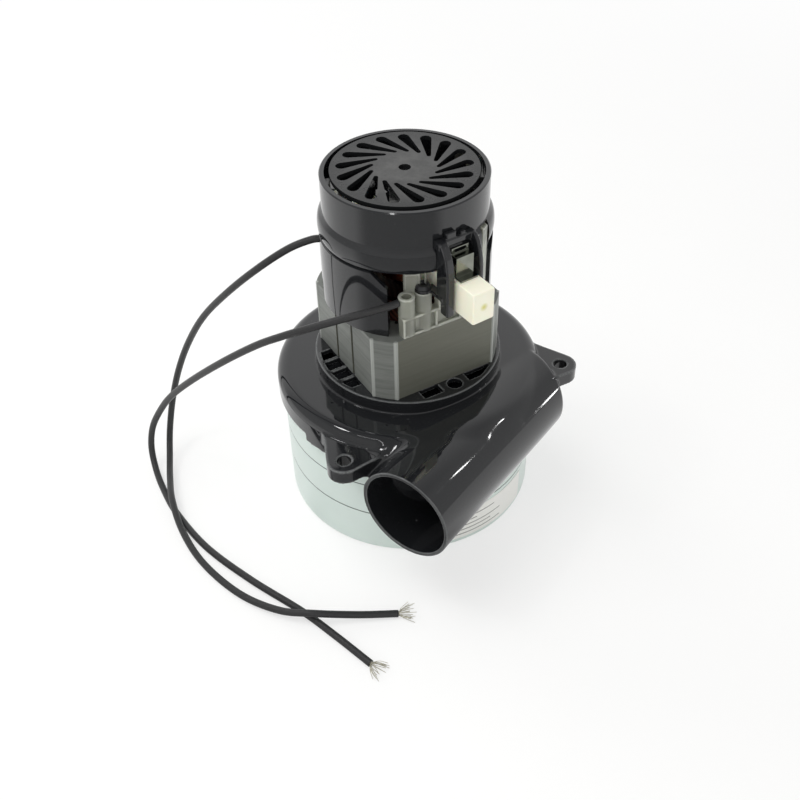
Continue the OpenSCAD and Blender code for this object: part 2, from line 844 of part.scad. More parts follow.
module lower_bearing_balls() {
    color(bright_steel)
        bearing_balls(low_pitch_r, low_ball_r, 8, low_bearing_z + low_bearing_w / 2);
}

module upper_bearing_outer() {
    color(bright_steel)
        bearing_ring(top_pitch_r + shoulder * top_ball_r, top_bearing_r, top_pitch_r, top_ball_r,
            top_bearing_z, top_bearing_w);
}

module upper_bearing_inner() {
    color(bright_steel)
        bearing_ring(shaft_top_r, top_pitch_r - shoulder * top_ball_r, top_pitch_r, top_ball_r,
            top_bearing_z, top_bearing_w);
}

module upper_bearing_balls() {
    color(bright_steel)
        bearing_balls(top_pitch_r, top_ball_r, 7, top_bearing_z + top_bearing_w / 2);
}

module preload_washer() {
    washer_z = top_bearing_z + top_bearing_w;
    washer_play = 0.2;
    washer_w = 2;
    color(bright_steel)
        ring(top_bearing_r - washer_play - washer_w, top_bearing_r - washer_play, washer_z,
            washer_z + preload_t);
}

// Outline of one stator sheet
module stator_outline() {
    bead_t = sqrt(stator_r * stator_r - flat_half * flat_half);
    difference() {
        union() {
            intersection() {
                circle(stator_r);
                square(stator_flats, center = true);
            }
            for (side = [0:3])
                rotate(90 * side)
                    for (s = [-1, 1])
                        translate([flat_half - bead_r / 2, s * (bead_t - bead_r / 2)])
                            circle(bead_r);
        }
        circle(stator_bore_r);
        for (side = [0, 180])
            rotate(side)
                winding_slot();
        for (side = [90, 270])
            rotate(side)
                for (s = [-1, 1])
                    translate([flat_half, s * groove_t])
                        square([2 * groove_d, groove_w], center = true);
        for (angle = bolt_angles)
            rotate(angle - stator_angle)
                translate([bolt_circle_r, 0])
                    circle(bolt_r + bolt_play);
    }
}

// Slot between the two poles, open to the bore
module winding_slot() {
    steps = 8;
    polygon(concat(
        [[0, 0]],
        [for (i = [0:steps])
            let (a = slot_half_angle * (2 * i / steps - 1))
            [slot_r * cos(a), slot_r * sin(a)]]));
}

module stator_core() {
    color(lamination_grey)
        translate([0, 0, stator_z])
            rotate([0, 0, stator_angle])
                linear_extrude(stator_h)
                    stator_outline();
}

// One coil: two sides in the slots and an arched head over each stator face
module field_coil(angle) {
    r_in = stator_bore_r + coil_gap;
    r_out = slot_r * cos(slot_half_angle / 8) - coil_gap;
    slot_margin = 3;
    middle_margin = 2;
    side_from = 90 - slot_half_angle + slot_margin;
    side_to = 90 - middle_margin;
    head_lift = coil_gap / 2;
    low = stator_z - head_lift;
    high = stator_top_z + head_lift;
    rotate([0, 0, angle])
        difference() {
            ring_sector(r_in, r_out, low - coil_head_h, high + coil_head_h, -side_to, side_to);
            ring_sector(r_in - eps, r_out + eps, low, high, -side_from, side_from);
        }
}

module field_coils() {
    color(copper_wire)
        for (side = [0, 180])
            field_coil(pole_angle + side);
}

// Nylon insulator on the stator: base, two posts, wire wall, box rest, and upright on its foot
module field_insulator(turn) {
    back = flat_half - insulator_d;
    wall_t = 2;
    wall_n = back - wall_t / 4;
    upright_t = 4;
    rest_half = box_w / 2;
    rest_t = flat_half * sin(brush_angle - stator_angle);
    color(nylon_natural)
        rotate([0, 0, turn])
            difference() {
                union() {
                    radial_box(stator_angle, back, flat_half, -insulator_left, insulator_right,
                        stator_top_z, stator_top_z + insulator_base_t);
                    for (t = [plain_post_t, screw_post_t])
                        rotate([0, 0, stator_angle])
                            translate([post_n, -t, stator_top_z])
                                cylinder(r = post_r, h = post_h);
                    radial_box(stator_angle, wall_n, wall_n + wall_t, -insulator_left,
                        -insulator_left + 2 * post_r, stator_top_z, stator_top_z + wire_wall_h);
                    radial_box(stator_angle, back, flat_half, rest_t - rest_half, rest_t + rest_half,
                        stator_top_z, brush_z - box_h / 2);
                    radial_box(stator_angle, upright_n - upright_t, flat_half, insulator_right - upright_w,
                        insulator_right, stator_top_z, stator_top_z + insulator_base_t);
                    intersection() {
                        radial_box(stator_angle, 0, full, insulator_right - upright_w,
                            insulator_right, stator_top_z, stator_top_z + upright_h);
                        ring(upright_r - upright_t, upright_r, stator_top_z, rim_z);
                    }
                }
                post_hole(plain_post_t, plain_hole_r);
                post_hole(screw_post_t, yoke_shank_r);
            }
}

// Blind hole down an insulator post
module post_hole(t, r) {
    rotate([0, 0, stator_angle])
        translate([post_n, -t, stator_top_z + post_h - post_hole_d])
            cylinder(r = r, h = post_hole_d + eps);
}

module field_insulator_front() {
    field_insulator(0);
}

module field_insulator_rear() {
    field_insulator(180);
}

// Socket screws that clamp shell, stator and housing together
module through_bolts() {
    head_z = stator_top_z + bolt_boss_h;
    color(bright_steel)
        for (angle = bolt_angles)
            translate(polar(bolt_circle_r, angle, 0)) {
                translate([0, 0, head_z])
                    cylinder(r = bolt_head_r, h = bolt_head_h);
                translate([0, 0, dome_z])
                    cylinder(r = bolt_r, h = head_z - dome_z + bolt_head_h / 4);
            }
}

// Turned wall of the shell: legs, groove, rounded band and upper cylinder
module shell_wall_body() {
    groove_r = leg_r - leg_groove_d;
    band_round = band_h / 2;
    rotate_extrude()
        polygon(concat(
            [[leg_in_r, stator_top_z], [leg_r, stator_top_z], [leg_r, leg_top_z - shell_edge],
            [groove_r, leg_top_z]],
            [for (a = [-75:15:75]) [groove_r + (band_r - groove_r) * cos(a),
                leg_top_z + band_round * 0.9 * (1 + sin(a))]],
            [[shell_r, band_top_z], [shell_r, rim_z - shell_edge], [shell_r - shell_edge, rim_z],
            [shell_r - shell_wall, rim_z], [shell_r - shell_wall, band_top_z - shell_wall],
            [leg_in_r, leg_top_z - shell_wall]]));
}

// Windows on both sides of the shell, between the legs with their cut corners
module shell_windows() {
    for (side = [0, 180]) {
        ring_sector(0, collar_r, stator_top_z - eps, leg_top_z, pole_angle + side + leg_half_angle,
            pole_angle + side + 180 - leg_half_angle);
        for (s = [0, 1])
            rotate([0, 0, pole_angle + side])
                mirror([0, s, 0])
                    rotate([90, 0, 90 + leg_half_angle])
                        linear_extrude(collar_r)
                            polygon([[eps, leg_top_z], [-leg_corner, leg_top_z],
                                [eps, leg_top_z - leg_corner - eps]]);
    }
}

// Pockets that leave room for the heads of the through bolts
module bolt_head_pockets() {
    for (angle = bolt_angles)
        translate(polar(bolt_circle_r, angle, stator_top_z + bolt_boss_h))
            cylinder(r = bolt_head_r + bolt_head_play, h = bolt_head_h + 2 * bolt_head_play);
}

// Bosses for the through bolts, each with a web to the leg behind it
module bolt_bosses() {
    translate([0, 0, stator_top_z + boss_lift])
        linear_extrude(bolt_boss_h - boss_lift)
            for (angle = bolt_angles)
                rotate(angle)
                    difference() {
                        intersection() {
                            circle(leg_r - shell_wall / 2);
                            union() {
                                translate([bolt_circle_r, 0])
                                    circle(bolt_boss_r);
                                translate([bolt_circle_r, -boss_web])
                                    square([leg_r - bolt_circle_r, 2 * boss_web]);
                            }
                        }
                        translate([bolt_circle_r, 0])
                            circle(bolt_r + bolt_play);
                    }
}

// Upper shell with its legs, spider arms and bearing hub
module upper_shell() {
    hub_z = top_bearing_z - hub_drop;
    hub_roof_z = top_bearing_z + top_bearing_w + preload_t;
    hub_top_z = hub_roof_z + hub_roof_t;
    shaft_gap = 1;
    color(black_plastic)
        difference() {
            union() {
                difference() {
                    shell_wall_body();
                    shell_windows();
                }
                intersection() {
                    translate([0, 0, hub_z])
                        cylinder(r = shell_r - shell_wall / 2, h = hub_top_z - hub_z);
                    for (k = [0:3])
                        radial_box(stator_angle + 90 * k, 0, full, -arm_w / 2, arm_w / 2,
                            hub_top_z - arm_h, hub_top_z);
                }
                translate([0, 0, hub_z])
                    cylinder(r = top_bearing_r + top_hub_wall, h = hub_top_z - hub_z);
                bolt_bosses();
            }
            translate([0, 0, hub_z - eps])
                cylinder(r = top_bearing_r, h = hub_roof_z - hub_z + eps);
            cylinder(r = shaft_mid_r + shaft_gap, h = full);
            bolt_head_pockets();
            translate([0, 0, stator_top_z + lead_exit_rise])
                rotate([0, 90, lead_hole_angle])
                    cylinder(r = lead_hole_r, h = full);
            for (side = [0, 180])
                radial_box(stator_angle + side, shell_r / 2, full, insulator_right - upright_w - slot_play,
                    insulator_right + slot_play, leg_top_z - eps, stator_top_z + upright_h + slot_play);
        }
}

// Inverted yoke round a brush box, its back follows the shell
module brush_yoke(angle) {
    color(black_plastic) {
        difference() {
            rotate([0, 0, angle])
                yoke_arch();
            cylinder(r = shell_r + yoke_play, h = full);
            cylinder(r = band_r + yoke_play, h = band_top_z);
        }
        rotate([0, 0, angle])
            yoke_foot_pad();
    }
}

// Two cheeks that bend back to the crown, the bridge and two lugs against the shell
module yoke_arch() {
    low = brush_z - yoke_foot;
    high = brush_z + yoke_top;
    brow = brush_z + yoke_brow;
    sunk = 5;
    back = shell_r - sunk;
    crown = shell_r + yoke_crown;
    steps = 8;
    for (s = [0, 1])
        mirror([0, s, 0])
            translate([0, yoke_in + cheek_t, 0])
                rotate([90, 0, 0])
                    linear_extrude(cheek_t)
                        polygon(concat(
                            [[yoke_out - yoke_foot_d, low], [yoke_out, low]],
                            [for (i = [0:steps]) let (a = 90 * i / steps)
                                [crown + (yoke_out - crown) * cos(a), brow + (high - brow) * sin(a)]],
                            [[back, high], [back, brush_z + yoke_step],
                            [yoke_out - yoke_foot_d, brush_z + yoke_step]]));
    translate([back, -yoke_in - cheek_t / 2, band_top_z + yoke_play])
        cube([crown - back, 2 * yoke_in + cheek_t, high - band_top_z - yoke_play]);
    translate([back, lug_t / 4 - yoke_in, high - eps])
        cube([sunk + lug_t, lug_w, lug_h + eps]);
    translate([back, lug_w / 4, high - eps])
        cube([sunk + lug_t, lug_w / 2, lug_h / 2 + eps]);
}

// Screw pad that reaches from a cheek over the insulator post
module yoke_foot_pad() {
    post = [post_n * cos(post_turn) - screw_post_t * sin(post_turn),
        -post_n * sin(post_turn) - screw_post_t * cos(post_turn)];
    translate([0, 0, stator_top_z + post_h])
        linear_extrude(pad_t)
            difference() {
                union() {
                    translate(post)
                        circle(post_r);
                    translate([post_n + post_r / 2, -yoke_in - cheek_t])
                        square([yoke_out - yoke_foot_d / 2 - post_n - post_r / 2, cheek_t]);
                }
                translate(post)
                    circle(yoke_shank_r);
            }
}

module brush_yoke_front() {
    brush_yoke(brush_angle);
}

module brush_yoke_rear() {
    brush_yoke(brush_angle + 180);
}

// Button screws that hold the yokes on the insulator posts
module yoke_screws() {
    head_z = stator_top_z + post_h + pad_t;
    head_taper = 0.9;
    socket_step = 0.3;
    color(carbon_black)
        for (side = [0, 180])
            rotate([0, 0, stator_angle + side])
                translate([post_n, -screw_post_t, head_z]) {
                    difference() {
                        cylinder(r1 = yoke_screw_r, r2 = yoke_screw_r - head_taper, h = yoke_screw_h);
                        translate([0, 0, yoke_screw_h / 2])
                            cylinder(r = yoke_shank_r + socket_step, h = yoke_screw_h);
                    }
                    translate([0, 0, -yoke_screw_l])
                        cylinder(r = yoke_shank_r, h = yoke_screw_l + yoke_screw_h / 4);
                }
}

// Moulded brush box, open towards the commutator
module brush_box(angle) {
    cavity_w = brush_w + 2 * brush_play;
    cavity_h = brush_h + 2 * brush_play;
    color(cream_box)
        difference() {
            radial_box(angle, box_in, box_out, -box_w / 2, box_w / 2,
                brush_z - box_h / 2, brush_z + box_h / 2);
            radial_box(angle, box_in - eps, box_out - box_end, -cavity_w / 2, cavity_w / 2,
                brush_z - cavity_h / 2, brush_z + cavity_h / 2);
        }
}

module brush_box_front() {
    brush_box(brush_angle);
}

module brush_box_rear() {
    brush_box(brush_angle + 180);
}

// Bent steel strip that presses the brush box down, with a slotted hem behind
module brush_clamp(angle) {
    low = brush_z + box_h / 2;
    high = low + clamp_h;
    hem_n = band_r + yoke_play + hem_gap;
    half = clamp_w / 2;
    slot_half = half - 2 * clamp_t;
    color(bright_steel)
        difference() {
            union() {
                radial_box(angle, clamp_n - clamp_t, clamp_n, -half, half, low, high);
                radial_box(angle, hem_n, clamp_n, -half, half, high - clamp_t, high);
                radial_box(angle, hem_n, hem_n + clamp_t, -half, half, high - clamp_t, high + hem_h);
                radial_box(angle, clamp_n - clamp_t, clamp_n + clamp_foot, -half, half,
                    low, low + clamp_t);
            }
            radial_box(angle, hem_n - eps, hem_n + clamp_t + eps, -slot_half, slot_half,
                high + hem_h / 4, high + 3 * hem_h / 4);
        }
}

module brush_clamp_front() {
    brush_clamp(brush_angle);
}

module brush_clamp_rear() {
    brush_clamp(brush_angle + 180);
}

// Supply leads: hand-chosen routes, a round section swept along them
lead_left_route = [[-33, -28, 168], [-38, -32, 167.5], [-47, -40, 163], [-61, -49, 151],
    [-82, -54, 130], [-105, -55, 104], [-122, -56, 78], [-132, -60, 54], [-135, -67, 33],
    [-131, -77, 17], [-121, -89, 8], [-109, -101, 6], [-93, -114.5, 7.2], [-72, -127, 4],
    [-47, -136, 2.1], [-16, -140, 2.1], [10, -137, 4], [29, -129.5, 7.4], [48, -114, 4],
    [64, -100, 2.1]];
lead_right_route = [[22, -37.6, 155], [19.5, -43.5, 155], [14, -52, 154.5], [4, -62, 152],
    [-10, -71, 146], [-24, -76, 138], [-40, -79, 127], [-64, -82, 107], [-92, -83, 81],
    [-114, -83, 58], [-127, -84, 40], [-134, -87, 25], [-133, -92, 13], [-124, -99, 5],
    [-110, -107, 2.1], [-88, -117, 2.1], [-55, -126, 2.1], [-18, -129, 2.1], [20, -129, 2.1],
    [45, -131, 2.1], [71, -134, 2.1]];
lead_sides = 8;

function unit(v) = v / norm(v);
// Point on a smooth curve through p1 and p2 with neighbours p0 and p3
function smooth(p0, p1, p2, p3, k) =
    0.5 * (2 * p1 + (p2 - p0) * k + (2 * p0 - 5 * p1 + 4 * p2 - p3) * k * k
    + (3 * p1 - p0 - 3 * p2 + p3) * k * k * k);
// Route with one point added half way along each span
function fine_route(p) = let (n = len(p) - 1) concat(
    [for (i = [0:n - 1], k = [0, 0.5])
        smooth(p[max(i - 1, 0)], p[i], p[i + 1], p[min(i + 2, n)], k)],
    [p[n]]);
// One ring of the tube at point i
function tube_ring(p, i, r) = let (
    n = len(p) - 1,
    along = unit(p[min(i + 1, n)] - p[max(i - 1, 0)]),
    side = unit(cross(along, [0, 0, 1])),
    up = cross(side, along))
    [for (k = [0:lead_sides - 1]) let (a = 360 * (k + 0.5) / lead_sides)
        p[i] + r * (cos(a) * side + sin(a) * up)];

module tube(route, r) {
    p = fine_route(route);
    n = len(p);
    rings = [for (i = [0:n - 1]) each tube_ring(p, i, r)];
    walls = [for (i = [0:n - 2], k = [0:lead_sides - 1])
        let (a = i * lead_sides + k, b = i * lead_sides + (k + 1) % lead_sides)
        each [[a, b, a + lead_sides], [b, b + lead_sides, a + lead_sides]]];
    last = (n - 1) * lead_sides;
    caps = [for (k = [1:lead_sides - 2])
        each [[0, k + 1, k], [last, last + k, last + k + 1]]];
    polyhedron(rings, concat(walls, caps));
}

module lead_wire_left() {
    color(lead_black)
        tube(lead_left_route, lead_r);
}

module lead_wire_right() {
    color(lead_black)
        tube(lead_right_route, lead_r);
}

// Bare strands that fan out from the end of a lead
module strands(route) {
    n = len(route) - 1;
    heading = route[n] - route[n - 1];
    color(bright_steel)
        translate(route[n])
            rotate([0, 0, atan2(heading.y, heading.x)])
                for (k = [0:strand_count - 1])
                    let (spread = 24 * (2 * k / (strand_count - 1) - 1))
                        translate([strand_r, lead_r * 0.7 * sin(spread * 3), 0])
                            rotate([0, 90, spread])
                                cylinder(r = strand_r, h = strand_l - abs(spread) / 8);
}

module lead_strands_left() {
    strands(lead_left_route);
}

module lead_strands_right() {
    strands(lead_right_route);
}

// Stepped motor shaft
module shaft() {
    color(bright_steel) {
        ring(0, shaft_low_r, shaft_bottom_z, shaft_shoulder_z);
        ring(0, shaft_mid_r, shaft_shoulder_z, top_bearing_z);
        ring(0, shaft_top_r, top_bearing_z, shaft_top_z);
    }
}

// Fan wheel: eye plate below, hub plate above, curved vanes between
module impeller(z0) {
    color(bright_steel) {
        ring(eye_r, impeller_r, z0, z0 + sheet_t);
        ring(shaft_low_r, impeller_r, z0 + impeller_h - sheet_t, z0 + impeller_h);
        for (i = [0:vane_count - 1])
            rotate([0, 0, 360 * i / vane_count])
                translate([0, 0, z0 + sheet_t / 2])
                    linear_extrude(impeller_h - sheet_t)
                        vane_outline(eye_r + 3 * vane_t, impeller_r - vane_t, vane_sweep, vane_t);
    }
}

module impeller_first() {
    impeller(wheel_1_z);
}

module impeller_second() {
    impeller(wheel_2_z);
}

module impeller_third() {
    impeller(wheel_3_z);
}

// Sleeves between the wheels and up to the bearing, and the washer
module impeller_spacers() {
    color(bright_steel) {
        ring(shaft_low_r, spacer_r, plate_1_z - washer_t, plate_1_z);
        ring(shaft_low_r, spacer_r, plate_1_z + sheet_t, plate_2_z);
        ring(shaft_low_r, spacer_r, plate_2_z + sheet_t, plate_3_z);
        ring(shaft_low_r, low_pitch_r - low_ball_r, plate_3_z + sheet_t, low_bearing_z);
    }
}

module impeller_nut() {
    nut_z = plate_1_z - washer_t - nut_h;
    color(bright_steel)
        difference() {
            translate([0, 0, nut_z])
                cylinder(r = nut_flats / sqrt(3), h = nut_h, $fn = 6);
            translate([0, 0, nut_z - eps])
                cylinder(r = shaft_low_r, h = nut_h + 2 * eps);
        }
}

// The armature pack stands a little inside the stator pack
armature_inset = 1;
armature_z = stator_z + armature_inset;
armature_top_z = stator_top_z - armature_inset;

// Slotted armature pack on the shaft
module armature_core() {
    color(lamination_grey)
        translate([0, 0, armature_z])
            linear_extrude(armature_top_z - armature_z)
                difference() {
                    circle(armature_r);
                    circle(shaft_mid_r);
                    for (i = [0:armature_slots - 1])
                        rotate(360 * i / armature_slots)
                            translate([armature_r - armature_slot_d, -armature_slot_w / 2])
                                square([armature_slot_d + eps, armature_slot_w]);
                }
}

// Winding: bars in the slots and a rounded head at each end
module armature_winding() {
    head_inset = 2;
    head_out = armature_r - head_inset;
    head_in = shaft_mid_r + head_inset;
    play = 0.3;
    color(copper_wire) {
        ring(head_in, head_out, armature_z - armature_head_h, armature_z);
        ring(head_in, head_out, armature_top_z, armature_top_z + armature_head_h);
        for (i = [0:armature_slots - 1])
            radial_box(360 * i / armature_slots, armature_r - armature_slot_d + play, head_out - play,
                -armature_slot_w / 2 + play, armature_slot_w / 2 - play,
                armature_z - eps, armature_top_z + eps);
    }
}

// Commutator with the gaps between its bars
module commutator() {
    bar_gap = 0.6;
    uncut = 2;
    color(copper_wire)
        difference() {
            union() {
                ring(shaft_mid_r, commutator_r, commutator_z, commutator_z + commutator_h);
                ring(shaft_mid_r, commutator_r + riser_d, commutator_z - riser_h, commutator_z);
            }
            for (i = [0:bar_count - 1])
                radial_box(360 * i / bar_count, commutator_r - bar_gap_d, commutator_r + riser_d + eps,
                    -bar_gap / 2, bar_gap / 2, commutator_z - riser_h - eps,
                    commutator_z + commutator_h - uncut);
        }
}

// Ends of a vent slot, the inner one swept back
vent_slot_inner = vent_slot_in_r * [cos(vent_sweep), -sin(vent_sweep)];
vent_slot_outer = [vent_slot_out_r, 0];

// Straight strip with round ends between the ends of a slot
module vent_strip(w_in, w_out) {
    along = vent_slot_outer - vent_slot_inner;
    heading = atan2(along.y, along.x);
    square_to = 90 + asin((w_out - w_in) / 2 / norm(along));
    polygon(concat(
        corner(vent_slot_inner.x, vent_slot_inner.y, w_in / 2, heading + square_to,
            heading + 360 - square_to),
        corner(vent_slot_outer.x, vent_slot_outer.y, w_out / 2, heading - square_to,
            heading + square_to)));
}

// Rotating vent fan that closes the top of the shell
module vent_fan() {
    plate_z = vent_top_z - vent_t;
    color(black_plastic)
        difference() {
            union() {
                ring(0, vent_r, plate_z, vent_top_z);
                ring(0, vent_hub_r, plate_z - blade_h, plate_z + eps);
                for (i = [0:vent_count - 1])
                    rotate([0, 0, 360 * (i + 0.5) / vent_count])
                        translate([0, 0, plate_z - blade_h])
                            linear_extrude(blade_h + eps)
                                vent_strip(blade_t, blade_t);
            }
            for (i = [0:vent_count - 1])
                rotate([0, 0, 360 * i / vent_count])
                    translate([0, 0, plate_z - eps])
                        linear_extrude(vent_t + 2 * eps)
                            vent_strip(vent_slot_tip_w, vent_slot_w);
            translate([0, 0, plate_z - blade_h - eps])
                cylinder(r = shaft_top_r, h = shaft_top_z - plate_z + blade_h + eps);
            cylinder(r = vent_hole_r, h = full);
        }
}

// Carbon brush with its face bored to the commutator
module carbon_brush(angle) {
    color(carbon_black)
        difference() {
            radial_box(angle, commutator_r - 1, commutator_r + brush_gap + brush_l, -brush_w / 2,
                brush_w / 2, brush_z - brush_h / 2, brush_z + brush_h / 2);
            translate([0, 0, brush_z - brush_h])
                cylinder(r = commutator_r + brush_gap, h = 2 * brush_h);
        }
}

module carbon_brush_front() {
    carbon_brush(brush_angle);
}

module carbon_brush_rear() {
    carbon_brush(brush_angle + 180);
}

// Rolled strip spring that sits on the back of a brush
module brush_spring(angle) {
    color(bright_steel)
        rotate([0, 0, angle])
            translate([commutator_r + brush_gap + brush_l + spring_r, spring_w / 2, brush_z])
                rotate([90, 0, 0])
                    difference() {
                        cylinder(r = spring_r, h = spring_w);
                        translate([0, 0, -eps])
                            cylinder(r = spring_r / 2, h = spring_w + 2 * eps);
                    }
}

module brush_spring_front() {
    brush_spring(brush_angle);
}

module brush_spring_rear() {
    brush_spring(brush_angle + 180);
}

fan_case_bottom();
fan_case_middle();
fan_case_top();
guide_disc_lower();
guide_disc_upper();
rating_label();
discharge_housing();
bearing_retainer();
retainer_screws();
lower_bearing_outer();
stator_core();
field_coils();
field_insulator_front();
field_insulator_rear();
through_bolts();
upper_shell();
upper_bearing_outer();
preload_washer();
brush_yoke_front();
brush_yoke_rear();
yoke_screws();
brush_box_front();
brush_box_rear();
brush_clamp_front();
brush_clamp_rear();
lead_wire_left();
lead_wire_right();
lead_strands_left();
lead_strands_right();
shaft();
impeller_first();
impeller_second();
impeller_third();
impeller_spacers();
impeller_nut();
lower_bearing_inner();
lower_bearing_balls();
armature_core();
armature_winding();
commutator();
upper_bearing_inner();
upper_bearing_balls();
vent_fan();
carbon_brush_front();
brush_spring_front();
carbon_brush_rear();
brush_spring_rear();
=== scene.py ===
import math
import random

import bpy
import numpy as np
from mathutils import Matrix, Vector


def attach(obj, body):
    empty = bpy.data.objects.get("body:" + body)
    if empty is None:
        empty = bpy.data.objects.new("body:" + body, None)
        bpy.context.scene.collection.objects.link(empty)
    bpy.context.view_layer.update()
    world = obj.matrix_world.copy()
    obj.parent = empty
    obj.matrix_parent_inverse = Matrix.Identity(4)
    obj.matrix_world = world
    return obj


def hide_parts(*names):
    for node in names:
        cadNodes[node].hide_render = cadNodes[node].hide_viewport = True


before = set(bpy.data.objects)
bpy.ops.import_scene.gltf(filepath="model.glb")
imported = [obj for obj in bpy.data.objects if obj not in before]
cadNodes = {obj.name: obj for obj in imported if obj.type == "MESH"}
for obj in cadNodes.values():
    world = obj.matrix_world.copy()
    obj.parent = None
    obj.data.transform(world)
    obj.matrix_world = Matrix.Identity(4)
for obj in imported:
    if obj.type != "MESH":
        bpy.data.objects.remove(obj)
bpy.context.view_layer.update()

mm = 0.001
fixedBody = "motor_frame"
print("frame loaded:", len(cadNodes), "nodes")


# camera

photoCamera = {
    "place": (273.3, -372.1, 460.3),  # mm, in the motor's frame
    "turn": 36.3,                     # degrees that the motor is turned in the picture
    "yaw": -0.64,
    "pitch": 41.48,
    "roll": -1.40,
    "lens": 46.45,                    # mm on a 36 mm sensor
}


def makeCamera(c):
    yaw, pitch, roll = (math.radians(c[k]) for k in ("yaw", "pitch", "roll"))
    ahead = Vector((math.sin(yaw) * math.cos(pitch), math.cos(yaw) * math.cos(pitch), -math.sin(pitch)))
    right = Vector((math.cos(yaw), -math.sin(yaw), 0))
    up = right.cross(ahead)
    rolledRight = right * math.cos(roll) + up * math.sin(roll)
    rolledUp = up * math.cos(roll) - right * math.sin(roll)
    axes = Matrix((rolledRight, rolledUp, -ahead)).transposed().to_4x4()
    data = bpy.data.cameras.new("photoCamera")
    data.lens = c["lens"]
    data.sensor_width = 36
    data.clip_start = 0.01
    camera = bpy.data.objects.new("photoCamera", data)
    turn = Matrix.Rotation(math.radians(c["turn"]), 4, "Z")
    camera.matrix_world = Matrix.Translation(Vector(c["place"]) * mm) @ turn @ axes
    bpy.context.scene.collection.objects.link(camera)
    bpy.context.scene.camera = camera


makeCamera(photoCamera)
print("camera set")


# small helpers

def linearColour(hexText):
    parts = [int(hexText[i:i + 2], 16) / 255 for i in (1, 3, 5)]
    return [c / 12.92 if c <= 0.04045 else ((c + 0.055) / 1.055) ** 2.4 for c in parts] + [1.0]


def feed(tree, node, inputs):
    # an input gets a value, a hex colour, or a link from an output; a node stands for its first output
    for name, value in dict(inputs).items():
        if isinstance(value, bpy.types.Node):
            value = next(output for output in value.outputs if output.enabled)
        if isinstance(value, bpy.types.NodeSocket):
            tree.links.new(value, node.inputs[name])
        else:
            node.inputs[name].default_value = linearColour(value) if isinstance(value, str) else value


def addNode(tree, kind, inputs=(), **settings):
    node = tree.nodes.new("ShaderNode" + kind)
    for name, value in settings.items():
        setattr(node, name, value)
    feed(tree, node, inputs)
    return node


def newMaterial(name):
    material = bpy.data.materials.new(name)
    material.use_nodes = True
    tree = material.node_tree
    shader = tree.nodes["Principled BSDF"]
    place = addNode(tree, "TexCoord").outputs["Object"]  # metres, so scales below are per metre
    return material, tree, shader, place


def perMm(size):
    return 1 / (size * mm)  # noise scale that gives cells of this many mm


def newPiece(name, mesh, material):
    piece = bpy.data.objects.new(name, mesh)
    bpy.context.scene.collection.objects.link(piece)
    mesh.materials.append(material)
    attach(piece, fixedBody)
    return piece


# materials

hornBore = {
    "axis": (59.9, 0, 66.4), "radius": 24.4,    # mm; no rim wear or painted edge highlight in here
    "middle": -59.0, "reach": 21.0,             # its span along the horn
}


def glossyMouldedPolymer(name, rubbedLitRims):
    # glass-filled polyester, injection moulded in a polished tool: a deep black that mirrors
    # the room softly, waved a little by sink, with haze from handling and specks of dust;
    # sharp rims are painted a lighter dull grey, partly rubbed wear and partly a painted edge highlight
    material, tree, shader, place = newMaterial(name)
    sink = addNode(tree, "TexNoise", {"Vector": place, "Scale": perMm(16), "Detail": 2})
    haze = addNode(tree, "TexNoise", {"Vector": place, "Scale": perMm(7), "Detail": 6, "Roughness": 0.7})
    dust = addNode(tree, "TexVoronoi", {"Vector": place, "Scale": perMm(2.4), "Randomness": 1.0})
    speck = addNode(tree, "MapRange", {"Value": dust, "From Min": 0.05, "From Max": 0.09, "To Min": 1.0,
                                       "To Max": 0.0})
    sparse = addNode(tree, "Math", {0: speck, 1: haze}, operation="MULTIPLY")
    colour = addNode(tree, "Mix", {"Factor": sparse, "A": "#1b1c1e", "B": "#4a4a48"}, data_type="RGBA")
    gloss = addNode(tree, "MapRange", {"Value": haze, "From Min": 0.35, "From Max": 0.7, "To Min": 0.03,
                                       "To Max": 0.09})
    wave = addNode(tree, "Bump", {"Height": sink, "Strength": 0.01, "Distance": 0.6 * mm})
    rubbed = gloss
    if rubbedLitRims:
        # painted edge highlight and rubbed wear: sharp rims, found by pointiness, turn lighter grey and
        # duller, except inside the bore
        bend = addNode(tree, "NewGeometry").outputs["Pointiness"]
        rimWearAndHighlight = addNode(tree, "MapRange", {"Value": bend, "From Min": 0.515, "From Max": 0.56,
                                         "To Max": 0.8})
        across = addNode(tree, "VectorMath", {0: place, 1: (1, 0, 1)}, operation="MULTIPLY")
        away = addNode(tree, "VectorMath", {0: across, 1: Vector(hornBore["axis"]) * mm},
                       operation="DISTANCE")
        bore = addNode(tree, "Math", {0: away, 1: hornBore["radius"] * mm}, operation="LESS_THAN")
        along = addNode(tree, "SeparateXYZ", {0: place})
        deep = addNode(tree, "Math", {0: along.outputs["Y"], 1: hornBore["middle"] * mm,
                                      2: hornBore["reach"] * mm}, operation="COMPARE")
        hidden = addNode(tree, "Math", {0: bore, 1: deep}, operation="MULTIPLY")
        rimWearAndHighlight = addNode(tree, "Math", {0: rimWearAndHighlight, 1: hidden}, operation="SUBTRACT", use_clamp=True)
        colour = addNode(tree, "Mix", {"Factor": rimWearAndHighlight, "A": colour, "B": "#6e7070"}, data_type="RGBA")
        rubbed = addNode(tree, "MapRange", {"Value": rimWearAndHighlight, "To Min": gloss, "To Max": 0.4})
    feed(tree, shader, {"Base Color": colour, "Roughness": rubbed, "Normal": wave, "IOR": 1.6})
    return material


